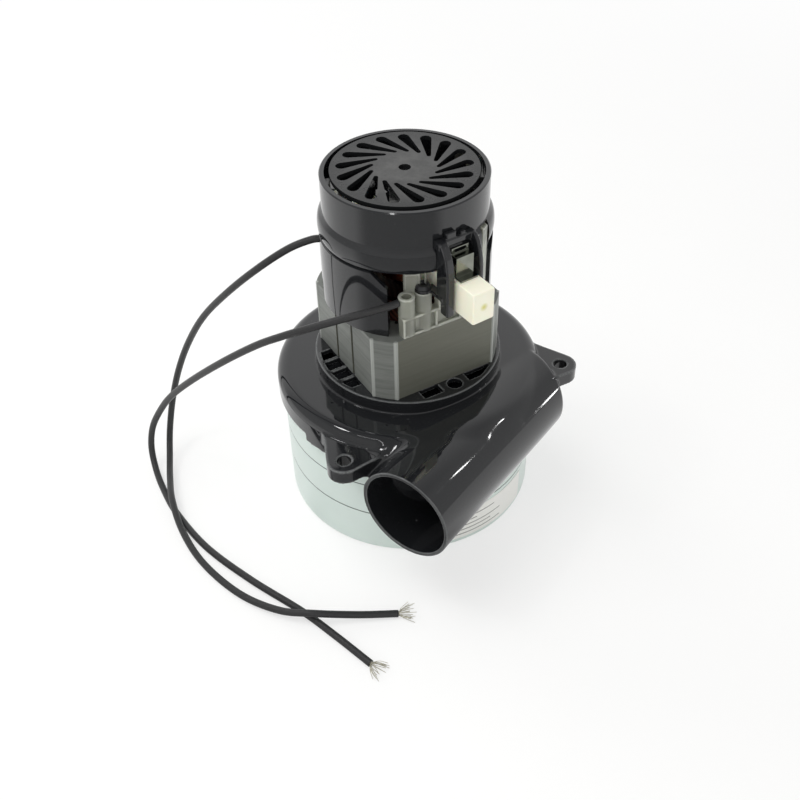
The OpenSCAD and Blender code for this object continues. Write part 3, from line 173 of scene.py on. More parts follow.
def dustyMoulding(thickTo, thinFrom):
    # glass-filled nylon, moulded and left matte: charcoal, greyed by fine dust,
    # most of it near the hub
    material, tree, shader, place = newMaterial("dustyMouldedNylon")
    dust = addNode(tree, "TexNoise", {"Vector": place, "Scale": perMm(9), "Detail": 7, "Roughness": 0.72})
    grain = addNode(tree, "TexNoise", {"Vector": place, "Scale": perMm(0.9), "Detail": 2})
    facing = addNode(tree, "SeparateXYZ", {0: addNode(tree, "NewGeometry").outputs["Normal"]})
    settled = addNode(tree, "MapRange", {"Value": facing.outputs["Z"], "From Min": 0.3, "From Max": 0.9})
    film = addNode(tree, "MapRange", {"Value": dust, "From Min": 0.2, "From Max": 0.72})
    flat = addNode(tree, "VectorMath", {0: place, 1: (1, 1, 0)}, operation="MULTIPLY")
    out = addNode(tree, "VectorMath", {0: flat}, operation="LENGTH")
    thick = addNode(tree, "MapRange", {"Value": out, "From Min": thickTo * mm, "From Max": thinFrom * mm,
                                       "To Min": 1.0, "To Max": 0.25})
    lying = addNode(tree, "Math", {0: settled, 1: film}, operation="MULTIPLY")
    amount = addNode(tree, "Math", {0: lying, 1: thick}, operation="MULTIPLY")
    colour = addNode(tree, "Mix", {"Factor": amount, "A": "#1d1e1f", "B": "#585857"}, data_type="RGBA")
    rough = addNode(tree, "MapRange", {"Value": amount, "To Min": 0.24, "To Max": 0.42})
    bump = addNode(tree, "Bump", {"Height": grain, "Strength": 0.12, "Distance": 0.05 * mm})
    feed(tree, shader, {"Base Color": colour, "Roughness": rough, "Normal": bump, "IOR": 1.5,
                        "Specular IOR Level": 0.3})
    return material


def satinPaintedSteel(seams):
    # deep-drawn steel with a pale grey-green stoved paint: satin, with a fine orange peel,
    # and a thin dark line of painted shade where one ring sits on the next
    material, tree, shader, place = newMaterial("satinPaintedSteel")
    peel = addNode(tree, "TexNoise", {"Vector": place, "Scale": perMm(1.6), "Detail": 2})
    cloud = addNode(tree, "TexNoise", {"Vector": place, "Scale": perMm(30), "Detail": 4})
    paint = addNode(tree, "Mix", {"Factor": cloud, "A": "#cddbd5", "B": "#dbe6e1"}, data_type="RGBA")
    height = addNode(tree, "SeparateXYZ", {0: place}).outputs["Z"]
    # painted shade: a thin dark line painted at each seam height
    seamShade = 0.0
    for seam in seams:
        near = addNode(tree, "Math", {0: height, 1: seam * mm, 2: 0.35 * mm}, operation="COMPARE")
        seamShade = addNode(tree, "Math", {0: near, 1: seamShade}, operation="MAXIMUM")
    colour = addNode(tree, "Mix", {"Factor": seamShade, "A": paint, "B": "#59605d"}, data_type="RGBA")
    gloss = addNode(tree, "MapRange", {"Value": cloud, "To Min": 0.30, "To Max": 0.42})
    bump = addNode(tree, "Bump", {"Height": peel, "Strength": 0.10, "Distance": 0.05 * mm})
    feed(tree, shader, {"Base Color": colour, "Roughness": gloss, "Normal": bump, "IOR": 1.5})
    return material


def punchedLaminations(frontAngle, beadHighlightSpots):
    # punched silicon-steel sheets, stacked, welded and varnished: dull grey edges ruled by the
    # sheets, an olive cast on the flat whose normal points along frontAngle, and lighter spots
    # down the corners, partly weld beads and partly a painted highlight
    material, tree, shader, place = newMaterial("punchedLaminations")
    sheet = 1.3  # mm; real sheets are 0.5 mm, drawn coarser so that they show
    split = addNode(tree, "SeparateXYZ", {0: place})
    height = addNode(tree, "Math", {0: split.outputs["Z"], 1: perMm(sheet)}, operation="MULTIPLY")
    layer = addNode(tree, "Math", {0: height}, operation="FLOOR")
    tone = addNode(tree, "TexWhiteNoise", {"W": layer}, noise_dimensions="1D")
    along = addNode(tree, "Mapping", {"Vector": place, "Scale": (1, 1, 14)})
    streak = addNode(tree, "TexNoise", {"Vector": along, "Scale": perMm(9), "Detail": 5,
                                        "Roughness": 0.65})
    mixed = addNode(tree, "Math", {0: tone, 1: 0.35, 2: streak}, operation="MULTIPLY_ADD")
    grey = addNode(tree, "Mix", {"Factor": mixed, "A": "#5c5f5c", "B": "#8e918c"}, data_type="RGBA")
    facing = addNode(tree, "TexCoord")
    # olive cast chosen only by the way the face points, towards frontAngle
    ahead = (math.cos(math.radians(frontAngle)), math.sin(math.radians(frontAngle)), 0)
    front = addNode(tree, "VectorMath", {0: facing.outputs["Normal"], 1: ahead}, operation="DOT_PRODUCT")
    olive = addNode(tree, "MapRange", {"Value": front, "From Min": 0.96, "From Max": 0.99,
                                       "To Max": 0.75})
    colour = addNode(tree, "Mix", {"Factor": olive, "A": grey, "B": "#68685b"}, data_type="RGBA")
    square = addNode(tree, "Mapping", {"Vector": place, "Rotation": (0, 0, math.radians(-frontAngle)),
                                       "Scale": (1, 1, 0)})
    folded = addNode(tree, "VectorMath", {0: square}, operation="ABSOLUTE")
    # weld beads with a painted highlight: spots at the corners painted lighter, with no bump of their own
    beadAndHighlight = 0.0
    for n, t in beadHighlightSpots:
        apart = addNode(tree, "VectorMath", {0: folded, 1: (n * mm, t * mm, 0)}, operation="DISTANCE")
        near = addNode(tree, "MapRange", {"Value": apart, "From Min": 0.9 * mm, "From Max": 1.5 * mm,
                                          "To Min": 1.0, "To Max": 0.0})
        beadAndHighlight = addNode(tree, "Math", {0: near, 1: beadAndHighlight}, operation="MAXIMUM")
    colour = addNode(tree, "Mix", {"Factor": beadAndHighlight, "A": colour, "B": "#b4b7b2"}, data_type="RGBA")
    part = addNode(tree, "Math", {0: height}, operation="FRACT")
    groove = addNode(tree, "MapRange", {"Value": part, "From Min": 0.0, "From Max": 0.25})
    bump = addNode(tree, "Bump", {"Height": groove, "Strength": 0.35, "Distance": 0.05 * mm})
    rough = addNode(tree, "MapRange", {"Value": streak, "To Min": 0.36, "To Max": 0.55})
    feed(tree, shader, {"Base Color": colour, "Roughness": rough, "Normal": bump, "Metallic": 0.4})
    return material


def naturalNylon():
    # unfilled nylon, moulded: milky and a little see-through, its sharp edges painted paler and less clear
    # as a painted edge highlight
    material, tree, shader, place = newMaterial("naturalNylon")
    flow = addNode(tree, "TexNoise", {"Vector": place, "Scale": perMm(8), "Detail": 3})
    milk = addNode(tree, "Mix", {"Factor": flow, "A": "#bcbfb1", "B": "#dadcd0"}, data_type="RGBA")
    bend = addNode(tree, "NewGeometry").outputs["Pointiness"]
    # painted edge highlight: sharp edges, found by pointiness, are painted paler and made less see-through
    edge = addNode(tree, "MapRange", {"Value": bend, "From Min": 0.51, "From Max": 0.57, "To Max": 0.7})
    colour = addNode(tree, "Mix", {"Factor": edge, "A": milk, "B": "#e6e8de"}, data_type="RGBA")
    clear = addNode(tree, "MapRange", {"Value": edge, "To Min": 0.66, "To Max": 0.2})
    bump = addNode(tree, "Bump", {"Height": flow, "Strength": 0.08, "Distance": 0.3 * mm})
    feed(tree, shader, {"Base Color": colour, "Normal": bump, "Roughness": 0.22, "IOR": 1.53,
                        "Subsurface Weight": 0.25, "Subsurface Radius": (1.0, 0.95, 0.8),
                        "Subsurface Scale": 3 * mm, "Transmission Weight": clear})
    return material


def creamThermoset(stains):
    # mineral-filled moulding compound, pressed: dense cream white with a soft eggshell sheen,
    # and a small yellow gate stain on each end
    material, tree, shader, place = newMaterial("creamThermoset")
    grain = addNode(tree, "TexNoise", {"Vector": place, "Scale": perMm(1.2), "Detail": 4})
    cloud = addNode(tree, "TexNoise", {"Vector": place, "Scale": perMm(14), "Detail": 3})
    colour = addNode(tree, "Mix", {"Factor": cloud, "A": "#fbf8dc", "B": "#fffdee"}, data_type="RGBA")
    for stain in stains:
        apart = addNode(tree, "VectorMath", {0: place, 1: Vector(stain) * mm}, operation="DISTANCE")
        near = addNode(tree, "MapRange", {"Value": apart, "From Min": 0.5 * mm, "From Max": 2.6 * mm,
                                          "To Min": 0.8, "To Max": 0.0})
        colour = addNode(tree, "Mix", {"Factor": near, "A": colour, "B": "#d2cc5e"}, data_type="RGBA")
    bump = addNode(tree, "Bump", {"Height": grain, "Strength": 0.08, "Distance": 0.06 * mm})
    feed(tree, shader, {"Base Color": colour, "Normal": bump, "Roughness": 0.38,
                        "Subsurface Weight": 0.15, "Subsurface Scale": 1.5 * mm})
    return material


def metal(name, dark, light, roughness, grainMm, stretch):
    # a worked metal: fine grain or draw lines along one axis, patchy gloss
    material, tree, shader, place = newMaterial(name)
    lines = addNode(tree, "Mapping", {"Vector": place, "Scale": stretch})
    grain = addNode(tree, "TexNoise", {"Vector": lines, "Scale": perMm(grainMm), "Detail": 4})
    patch = addNode(tree, "TexNoise", {"Vector": place, "Scale": perMm(6), "Detail": 3})
    colour = addNode(tree, "Mix", {"Factor": patch, "A": dark, "B": light}, data_type="RGBA")
    gloss = addNode(tree, "MapRange", {"Value": grain, "To Min": roughness * 0.8,
                                       "To Max": roughness * 1.3})
    bump = addNode(tree, "Bump", {"Height": grain, "Strength": 0.12, "Distance": 0.04 * mm})
    feed(tree, shader, {"Base Color": colour, "Roughness": gloss, "Normal": bump, "Metallic": 1.0})
    return material


def woundCopper(name, dark, light):
    # enamelled magnet wire, wound: red-brown rows of wire under varnish
    material, tree, shader, place = newMaterial(name)
    wireSize = 1.0  # mm; real wire is about 0.7 mm, drawn coarser so that rows show
    rows = addNode(tree, "TexWave", {"Vector": place, "Scale": perMm(wireSize) / 6.3, "Distortion": 1.2,
                                     "Detail": 1.0}, bands_direction="DIAGONAL")
    colour = addNode(tree, "Mix", {"Factor": rows.outputs["Fac"], "A": dark, "B": light},
                     data_type="RGBA")
    bump = addNode(tree, "Bump", {"Height": rows.outputs["Fac"], "Strength": 0.6, "Distance": 0.3 * mm})
    feed(tree, shader, {"Base Color": colour, "Normal": bump, "Metallic": 0.6, "Roughness": 0.35})
    return material


def matteGrained(name, dark, light, roughness, grainMm):
    # a dull surface with a fine grain
    material, tree, shader, place = newMaterial(name)
    grain = addNode(tree, "TexNoise", {"Vector": place, "Scale": perMm(grainMm), "Detail": 5})
    colour = addNode(tree, "Mix", {"Factor": grain, "A": dark, "B": light}, data_type="RGBA")
    bump = addNode(tree, "Bump", {"Height": grain, "Strength": 0.15, "Distance": 0.08 * mm})
    feed(tree, shader, {"Base Color": colour, "Normal": bump, "Roughness": roughness})
    return material


def ruledLabel(rows):
    # coated paper label: flat white, ruled with thin grey lines
    material, tree, shader, place = newMaterial("ruledLabelPaper")
    grain = addNode(tree, "TexNoise", {"Vector": place, "Scale": perMm(0.6), "Detail": 3})
    paper = addNode(tree, "Mix", {"Factor": grain, "A": "#ebebe6", "B": "#f4f4f0"}, data_type="RGBA")
    split = addNode(tree, "SeparateXYZ", {0: place})
    turn = addNode(tree, "Math", {0: split.outputs["Y"], 1: split.outputs["X"]}, operation="ARCTAN2")
    ruled = 0.0
    for height, first, last in rows:
        line = addNode(tree, "Math", {0: split.outputs["Z"], 1: height * mm, 2: 0.28 * mm},
                       operation="COMPARE")
        span = addNode(tree, "Math", {0: turn, 1: math.radians((first + last) / 2),
                                      2: math.radians((last - first) / 2)}, operation="COMPARE")
        both = addNode(tree, "Math", {0: line, 1: span}, operation="MULTIPLY")
        ruled = addNode(tree, "Math", {0: both, 1: ruled}, operation="MAXIMUM")
    colour = addNode(tree, "Mix", {"Factor": ruled, "A": paper, "B": "#5b5c5a"}, data_type="RGBA")
    feed(tree, shader, {"Base Color": colour, "Roughness": 0.45})
    return material


housingPolymer = glossyMouldedPolymer("glossyMouldedPolymer", True)
blackPolymer = glossyMouldedPolymer("glossyMouldedShell", False)
paintedCase = satinPaintedSteel((28.0, 50.3))
statorSheets = punchedLaminations(-23.2, ((39.7, 30.4), (30.4, 39.7)))
nylon = naturalNylon()
creamBox = creamThermoset(((63.4, -23.1, 161.1), (-63.4, 23.1, 161.1)))
copperWire = woundCopper("enamelledCopper", "#24100d", "#5c2f25")
varnishedWire = woundCopper("varnishedWinding", "#150d0b", "#33201a")
dustyFan = dustyMoulding(12, 36)  # mm from the shaft
springStrip = metal("rolledSpringSteel", "#696b64", "#9c9f95", 0.16, 0.5, (1, 1, 8))
groundSteel = metal("groundSteel", "#8f9293", "#c3c5c6", 0.25, 0.6, (1, 1, 6))
wheelSheet = metal("rolledAluminium", "#a7a9aa", "#cfd0d1", 0.35, 0.8, (1, 6, 1))
barCopper = metal("turnedCopper", "#9a5638", "#c98663", 0.3, 0.5, (1, 1, 9))
tinnedWire = metal("tinnedCopper", "#d9d5c4", "#f6f2e2", 0.4, 0.3, (4, 4, 1))
blackScrew = matteGrained("blackenedScrewSteel", "#1d1e20", "#37383a", 0.3, 0.8)
leadCover = matteGrained("extrudedPvcCover", "#232324", "#323232", 0.42, 1.5)
labelPaper = ruledLabel([(7.0, -50, -8), (10.2, -50, -14), (13.4, -50, -8), (16.6, -50, -22),
                         (19.8, -50, -12)])  # height in mm, first and last angle of each line
pressedCarbon = matteGrained("pressedCarbon", "#232326", "#3a3a3d", 0.6, 0.3)
print("materials made:", len(bpy.data.materials))


# supply leads, the same routes as the solids

supplyLeads = {
    "diameter": 4.0,
    "left": [(-33, -28, 168), (-38, -32, 167.5), (-47, -40, 163), (-61, -49, 151), (-82, -54, 130),
             (-105, -55, 104), (-122, -56, 78), (-132, -60, 54), (-135, -67, 33), (-131, -77, 17),
             (-121, -89, 8), (-109, -101, 6), (-93, -114.5, 7.2), (-72, -127, 4), (-47, -136, 2.1),
             (-16, -140, 2.1), (10, -137, 4), (29, -129.5, 7.4), (48, -114, 4), (64, -100, 2.1)],
    "right": [(22, -37.6, 155), (19.5, -43.5, 155), (14, -52, 154.5), (4, -62, 152), (-10, -71, 146),
              (-24, -76, 138), (-40, -79, 127), (-64, -82, 107), (-92, -83, 81), (-114, -83, 58),
              (-127, -84, 40), (-134, -87, 25), (-133, -92, 13), (-124, -99, 5), (-110, -107, 2.1),
              (-88, -117, 2.1), (-55, -126, 2.1), (-18, -129, 2.1), (20, -129, 2.1), (45, -131, 2.1),
              (71, -134, 2.1)],
    "length": {"left": 0.437, "right": 0.455},
    "strandCount": 19, "strandDiameter": 0.32, "strandLength": 12.0,
    "strandRing": 1.1, "strandTuck": 2.0, "strandStraight": 2.2,    # tucked into the cover, then straight
    "strandSpread": 0.42, "strandStray": 0.16, "strandLow": 0.4,    # lowest height over the table
}


def smoothCurve(name, routes, diameter, material, sides=8):
    data = bpy.data.curves.new(name, "CURVE")
    data.dimensions = "3D"
    data.bevel_depth = diameter / 2 * mm
    data.bevel_resolution = sides // 2
    data.resolution_u = 10
    data.use_fill_caps = True
    for route in routes:
        points = [Vector(p) * mm for p in route]
        last = len(points) - 1
        spline = data.splines.new("BEZIER")
        spline.bezier_points.add(last)
        for i, knot in enumerate(spline.bezier_points):
            reach = (points[min(i + 1, last)] - points[max(i - 1, 0)]) / 6
            knot.co = points[i]
            knot.handle_left = points[i] - reach
            knot.handle_right = points[i] + reach
    data.materials.append(material)
    piece = bpy.data.objects.new(name, data)
    bpy.context.scene.collection.objects.link(piece)
    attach(piece, fixedBody)
    return piece


def splayedStrands(route, seed):
    s = supplyLeads
    up = Vector((0, 0, 1))
    chance = random.Random(seed)
    tip = Vector(route[-1])
    ahead = (tip - Vector(route[-2])).normalized()
    ahead.z = 0
    side = ahead.cross(up).normalized()
    strands = []
    for k in range(s["strandCount"]):
        turn = 2 * math.pi * k / s["strandCount"]
        out = side * math.cos(turn) + up * math.sin(turn)
        start = tip - ahead * s["strandTuck"] + out * s["strandRing"]
        spread = math.cos(turn) * s["strandSpread"] + chance.uniform(-s["strandStray"], s["strandStray"])
        reach = s["strandLength"] * chance.uniform(0.7, 1.0)
        heading = (ahead + side * spread).normalized()
        lift = max(0.5, start.z + chance.uniform(-1.5, 1.5))
        middle = start + heading * reach * 0.5
        end = start + heading * reach + side * chance.uniform(-1.2, 1.2)
        middle.z = max(s["strandLow"], (start.z + lift) / 2)
        end.z = max(s["strandLow"], lift + chance.uniform(-1, 1))
        strands.append([start, start + ahead * s["strandStraight"], middle, end])
    return strands


def makeLeads():
    for k, side in enumerate(("left", "right")):
        route = supplyLeads[side]
        lead = smoothCurve("leadWire." + side, [route], supplyLeads["diameter"], leadCover)
        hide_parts("lead_wire_" + side)
        strands = smoothCurve("leadStrands." + side, splayedStrands(route, 11 + k),
                              supplyLeads["strandDiameter"], tinnedWire, 4)
        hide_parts("lead_strands_" + side)


makeLeads()
print("leads laid")


# discharge housing: the sizes of its solid, with horn, ears and collar blended into the dome

dischargeHousing = {
    "domeRadius": 75.2, "domeTop": 88.1, "domeRound": 7.0, "lip": 72.0,
    "caseRadius": 72.6, "caseTop": 76.0, "chamberRadius": 70.5, "roof": 85.5,
    "hubRadius": 20.0, "hubFoot": 71.0, "bearingRadius": 15.0, "bearingTop": 80.0, "shaftHole": 9.0,
    "hornAxis": (59.9, 66.4), "hornMouth": -87.0, "hornLength": 127.0,
    "hornRadius": (26.5, 24.0),         # mouth and tail, the draft of the mould
    "hornDrift": (0.8, -2.3),           # how far the tail's middle lies right of and under the mouth's
    "tailPlane": (0.298, 0.954, 59.0), "tailRound": 3.0,
    "mouthBore": 24.3, "mouthLength": 18.0, "boreStep": 0.5, "wall": 2.2, "ductStep": 0.6,
    "earAngles": (-76.7, 33.3, 158.3), "earCircle": 87.3, "earRadius": 9.2, "earHole": 3.75,
    "earTip": 35.0, "earSpan": (73.5, 82.0), "earFlank": (0.512, 0.859),     # the way an ear's sides face
    "collarRadius": 52.4, "collarTop": 96.1, "collarHollow": 48.9, "seatFoot": 93.1, "seatHole": 34.0,
    "windowReach": 49.5, "statorTurn": -23.2, "statorFlat": 39.7, "ribPitch": 9.5, "ribWidth": 2.2,
    "frontHole": (44.3, 3.0, 4.1),
    "frontWindows": ((39.7, 46.7, -17.0, -5.5), (39.7, 46.2, 11.5, 27.5)),
    "bossCircle": 38.9, "bossRadius": 4.2, "boltRadius": 2.0, "bossTurns": (26.8, 106.8, 206.8, 286.8),
    "hangTurns": (-103.0, -90.5), "hangFoot": 67.0, "hangLap": 2.0,
    "ejectorMarks": ((30.8, -51.3, 6.0), (-6.4, -56.2, 3.0)), "ejectorDepth": 0.22,
    "hornBlend": 9.0, "hornBlendLow": 1.0, "blendFoot": 68.0, "blendRise": 12.0,    # grows with height
    "tailCrisp": 1.0, "tailFrom": -45.0, "tailReach": 85.0,     # the blend dies out towards the tail
    "earBlend": 1.5, "earHornBlend": 7.0, "earHornFrom": 23.0, "earHornReach": 10.0, "earHornDepth": 30.0,
    "collarBlend": 1.2, "edge": 0.5,
    "turn": 0, "foot": 0,
    # from, to and spacing of the net, finer at the mouth and the collar
    "gridX": ((-100, 91, 0.9),), "gridY": ((-96.5, -88.4, 0.9), (-88.4, -84, 0.5), (-84, 79, 0.9)),
    "gridZ": ((38.3, 86.9, 0.9), (86.9, 97.4, 0.5)),
}


def smoothMin(a, b, k):
    h = np.clip(0.5 + 0.5 * (b - a) / k, 0, 1)
    return b + (a - b) * h - k * h * (1 - h)


def roundedMeet(a, b, r):
    # what lies inside both, with the edge where they meet rounded by r
    u, v = a + r, b + r
    return np.minimum(np.maximum(u, v), 0) + np.hypot(np.maximum(u, 0), np.maximum(v, 0)) - r


def easeIn(t):
    t = np.clip(t, 0, 1)
    return t * t * (3 - 2 * t)


def turned(x, y, degrees):
    c, s = math.cos(math.radians(degrees)), math.sin(math.radians(degrees))
    return x * c + y * s, y * c - x * s


def within(a, low, high):
    # less than zero between low and high
    return np.abs(a - (low + high) / 2) - (high - low) / 2


def housingDistance(x, y, z):
    h = dischargeHousing
    edge = h["edge"]
    rho = np.hypot(x, y)
    dome = roundedMeet(rho - h["domeRadius"], z - h["domeTop"], h["domeRound"])
    dome = roundedMeet(dome, h["lip"] - z, edge)

    along = y - h["hornMouth"]
    drift = easeIn(along / h["hornLength"])
    across = np.hypot(x - h["hornAxis"][0] - h["hornDrift"][0] * drift,
                      z - h["hornAxis"][1] - h["hornDrift"][1] * drift)
    draft = (h["hornRadius"][0] - h["hornRadius"][1]) / h["hornLength"]
    tail = x * h["tailPlane"][0] + y * h["tailPlane"][1] - h["tailPlane"][2]
    horn = roundedMeet(across - h["hornRadius"][0] + draft * along, tail, h["tailRound"])
    horn = roundedMeet(horn, -along, edge)
    crisp = h["tailCrisp"] * easeIn((y - h["tailFrom"]) / h["tailReach"])
    soft = easeIn((z - h["blendFoot"]) / h["blendRise"]) * (1 - crisp)
    body = smoothMin(dome, horn, h["hornBlendLow"] + (h["hornBlend"] - h["hornBlendLow"]) * soft)

    tipX, tipY = math.sin(math.radians(h["earTip"])), math.cos(math.radians(h["earTip"]))
    holes = math.inf
    nearHorn = easeIn((x - h["earHornFrom"]) / h["earHornReach"]) * easeIn(-y / h["earHornDepth"])
    earSoft = h["earBlend"] + (h["earHornBlend"] - h["earBlend"]) * nearHorn
    for angle in h["earAngles"]:
        u, v = turned(x, y, angle)
        u = u - h["earCircle"]
        flank = u * h["earFlank"][0] + np.abs(v) * h["earFlank"][1] - h["earRadius"]
        fromHole = np.hypot(u, v)
        ear = np.where(u * tipY - np.abs(v) * tipX > 0, fromHole - h["earRadius"], flank)
        ear = np.maximum(ear, -u - h["earCircle"] + h["chamberRadius"])
        body = smoothMin(body, roundedMeet(ear, within(z, *h["earSpan"]), edge), earSoft)
        holes = np.minimum(holes, fromHole - h["earHole"])
    middle, half = sum(h["hangTurns"]) / 2, (h["hangTurns"][1] - h["hangTurns"][0]) / 2
    u, v = turned(x, y, middle)
    hang = np.maximum(np.abs(v) - h["domeRadius"] * math.sin(math.radians(half)), -u)
    hang = np.maximum(hang, np.maximum(rho - h["domeRadius"], h["hangFoot"] - z))
    body = np.minimum(body, np.maximum(hang, z - h["lip"] - h["hangLap"]))
    collar = roundedMeet(rho - h["collarRadius"], z - h["collarTop"], edge)
    body = smoothMin(body, np.maximum(collar, h["roof"] - z), h["collarBlend"])

    def cut(body, hole, r=edge):
        return roundedMeet(body, -hole, r)

    body = cut(body, np.maximum(rho - h["caseRadius"], z - h["caseTop"]))
    body = cut(body, np.maximum(rho - h["chamberRadius"], z - h["roof"]))
    bore = np.where(along < h["mouthLength"], h["mouthBore"],
                    h["mouthBore"] - h["boreStep"] - draft * (along - h["mouthLength"]))
    duct = np.maximum(across - bore, tail + h["wall"])
    skirt = np.maximum(rho - h["domeRadius"] - h["ductStep"], z - h["caseTop"])
    body = cut(body, np.maximum(duct, -skirt))
    body = cut(body, holes)
    above = h["domeTop"] - z
    body = cut(body, np.maximum(above, np.maximum(rho - h["collarHollow"], z - h["seatFoot"])))
    body = cut(body, np.maximum(above, rho - h["seatHole"]))
    opening = np.maximum(above, rho - h["windowReach"])
    rib, pitch = h["ribWidth"] / 2, h["ribPitch"]
    for side in (1, 2, 3):
        n, t = turned(x, y, h["statorTurn"] - 90 * side)
        bars = np.maximum(np.abs(t) - 2 * pitch + rib, rib - np.abs(t - pitch * np.round(t / pitch)))
        body = cut(body, np.maximum(opening, np.maximum(h["statorFlat"] - n, bars)), edge / 2)
    n, t = turned(x, y, h["statorTurn"])
    holeN, holeT, holeR = h["frontHole"]
    body = cut(body, np.maximum(above, np.hypot(n - holeN, t - holeT) - holeR), edge / 2)
    for n0, n1, t0, t1 in h["frontWindows"]:
        pane = np.maximum(np.maximum(n0 - n, n - n1), np.maximum(t0 - t, t - t1))
        body = cut(body, np.maximum(opening, pane), edge / 2)
    for angle in h["bossTurns"]:
        u, v = turned(x, y, angle)
        spot = np.hypot(u - h["bossCircle"], v)
        boss = np.maximum(np.maximum(spot - h["bossRadius"], z - h["collarTop"]), h["roof"] - z)
        body = np.minimum(body, boss)
        body = np.maximum(body, -np.maximum(spot - h["boltRadius"], above))
    hub = np.maximum(rho - h["hubRadius"], np.maximum(h["hubFoot"] - z, z - h["domeTop"]))
    body = np.minimum(body, hub)
    body = np.maximum(body, -np.maximum(rho - h["bearingRadius"], z - h["bearingTop"]))
    body = np.maximum(body, h["shaftHole"] - rho)
    for markX, markY, markR in h["ejectorMarks"]:
        mark = np.maximum(np.hypot(x - markX, y - markY) - markR, above - h["ejectorDepth"])
        body = cut(body, mark, h["ejectorDepth"] / 2)
    return body


def gridLine(*spans):
    # places along one axis, each span with its own spacing
    places = [np.arange(round((end - start) / step)) * step + start for start, end, step in spans]
    return np.concatenate(places + [np.array([spans[-1][1]])])


def surfaceNet(distance, lines):
    # one point in each cell that the surface crosses, joined across the crossed grid edges
    values = distance(*np.meshgrid(*lines, indexing="ij", sparse=True))
    inside = values < 0
    count = [len(line) - 1 for line in lines]

    def corner(a, i, j, k):
        return a[i:i + count[0], j:j + count[1], k:k + count[2]]

    corners = [(i, j, k) for i in (0, 1) for j in (0, 1) for k in (0, 1)]
    total = sum(corner(inside, *c).astype(np.int8) for c in corners)
    cells = np.argwhere((total > 0) & (total < 8))
    index = np.full(count, -1)
    index[tuple(cells.T)] = np.arange(len(cells))
    sums, hits = np.zeros((len(cells), 3)), np.zeros((len(cells), 1))
    for start in corners:
        for axis in range(3):
            if start[axis]:
                continue
            end = tuple(v + (k == axis) for k, v in enumerate(start))
            a = values[tuple((cells + start).T)]
            b = values[tuple((cells + end).T)]
            crossed = (a < 0) != (b < 0)
            share = np.where(crossed, a / np.where(crossed, a - b, 1), 0)
            spot = np.tile(np.array(start, float), (len(cells), 1))
            spot[:, axis] = share
            sums += spot * crossed[:, None]
            hits += crossed[:, None]
    part = sums / hits
    low = np.stack([lines[k][cells[:, k]] for k in range(3)], 1)
    high = np.stack([lines[k][cells[:, k] + 1] for k in range(3)], 1)
    points = low + part * (high - low)
    quads = []
    for axis in range(3):
        first, second = (axis + 1) % 3, (axis + 2) % 3
        lower = np.take(inside, range(count[axis]), axis)
        upper = np.take(inside, range(1, count[axis] + 1), axis)
        crossing = np.argwhere(lower != upper)
        keep = np.all([(crossing[:, k] > 0) & (crossing[:, k] < count[k]) for k in (first, second)], 0)
        crossing = crossing[keep]
        around = []
        for one, two in ((-1, -1), (0, -1), (0, 0), (-1, 0)):
            cell = crossing.copy()
            cell[:, first] += one
            cell[:, second] += two
            around.append(index[tuple(cell.T)])
        quad = np.stack(around, 1)
        flipped = ~lower[tuple(crossing.T)]
        quad[flipped] = quad[flipped][:, ::-1]
        quads.append(quad)
    return points, np.concatenate(quads)


def slope(distance, points, step=0.02):
    columns = []
    for axis in range(3):
        ahead, behind = points.copy(), points.copy()
        ahead[:, axis] += step
        behind[:, axis] -= step
        columns.append((distance(*ahead.T) - distance(*behind.T)) / (2 * step))
    return np.stack(columns, 1)


surfaceFit = {"rounds": 3, "leastSlope": 0.2, "longestStep": 0.3}   # how the net is drawn to the surface


def netPiece(name, sizes, distance, material, extraTurn=0):
    points, quads = surfaceNet(distance, [gridLine(*sizes[axis]) for axis in ("gridX", "gridY", "gridZ")])
    longest = surfaceFit["longestStep"]
    for _ in range(surfaceFit["rounds"]):
        lean = slope(distance, points)
        steep = np.maximum((lean * lean).sum(1, keepdims=True), surfaceFit["leastSlope"])
        points = points - np.clip(distance(*points.T)[:, None] * lean / steep, -longest, longest)
    lean = slope(distance, points)
    lean /= np.maximum(np.linalg.norm(lean, axis=1, keepdims=True), 1e-6)
    swing = np.array(Matrix.Rotation(math.radians(sizes["turn"] + extraTurn), 3, "Z")).T
    mesh = bpy.data.meshes.new(name)
    mesh.from_pydata(((points @ swing + (0, 0, sizes["foot"])) * mm).tolist(), [], quads.tolist())
    mesh.shade_smooth()
    mesh.normals_split_custom_set_from_vertices((lean @ swing).tolist())
    print(name, "netted:", len(points), "points")
    return newPiece(name, mesh, material)


def makeHousing():
    piece = netPiece("dischargeHousing", dischargeHousing, housingDistance, housingPolymer)
    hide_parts("discharge_housing")


makeHousing()


# field insulators: the sizes of their solids, with hollow posts, a curved wire wall and sunk panels

fieldInsulator = {
    "turn": -23.2, "foot": 134.6,       # the frame below lies on the stator's front flat
    "front": 39.7, "back": 34.7, "half": 25.5, "baseHeight": 12.0,
    "posts": ((-21.1, 2.5), (-11.3, 1.5)),      # place along the flat, hole radius
    "postPlace": 35.3, "postRadius": 4.4, "postHeight": 23.0, "holeFoot": 11.0,
    "wallRadius": 36.4, "wallHalf": 0.9, "wallSpan": (-19.8, -9.4), "wallHeight": 33.0,
    "floorHeight": 2.5, "floorBack": 25.4,
    "rest": (-4.4, 8.8, 17.5),
    "uprightRadius": 43.0, "uprightHalf": 2.1, "uprightSpan": (20.9, 25.5), "uprightHeight": 50.0,
    "uprightBack": 29.9,
    "panels": ((-24.2, -6.4, 1.6, 10.6), (-5.0, 8.0, 1.6, 10.6), (9.6, 19.6, 1.6, 10.6)),
    "panelDepth": 1.8, "panelReach": 4.0, "blend": 0.7, "edge": 0.35,
    "gridX": ((24.5, 43.2, 0.55),), "gridY": ((-26.6, 26.2, 0.55),), "gridZ": ((-1.1, 51.15, 0.55),),
}


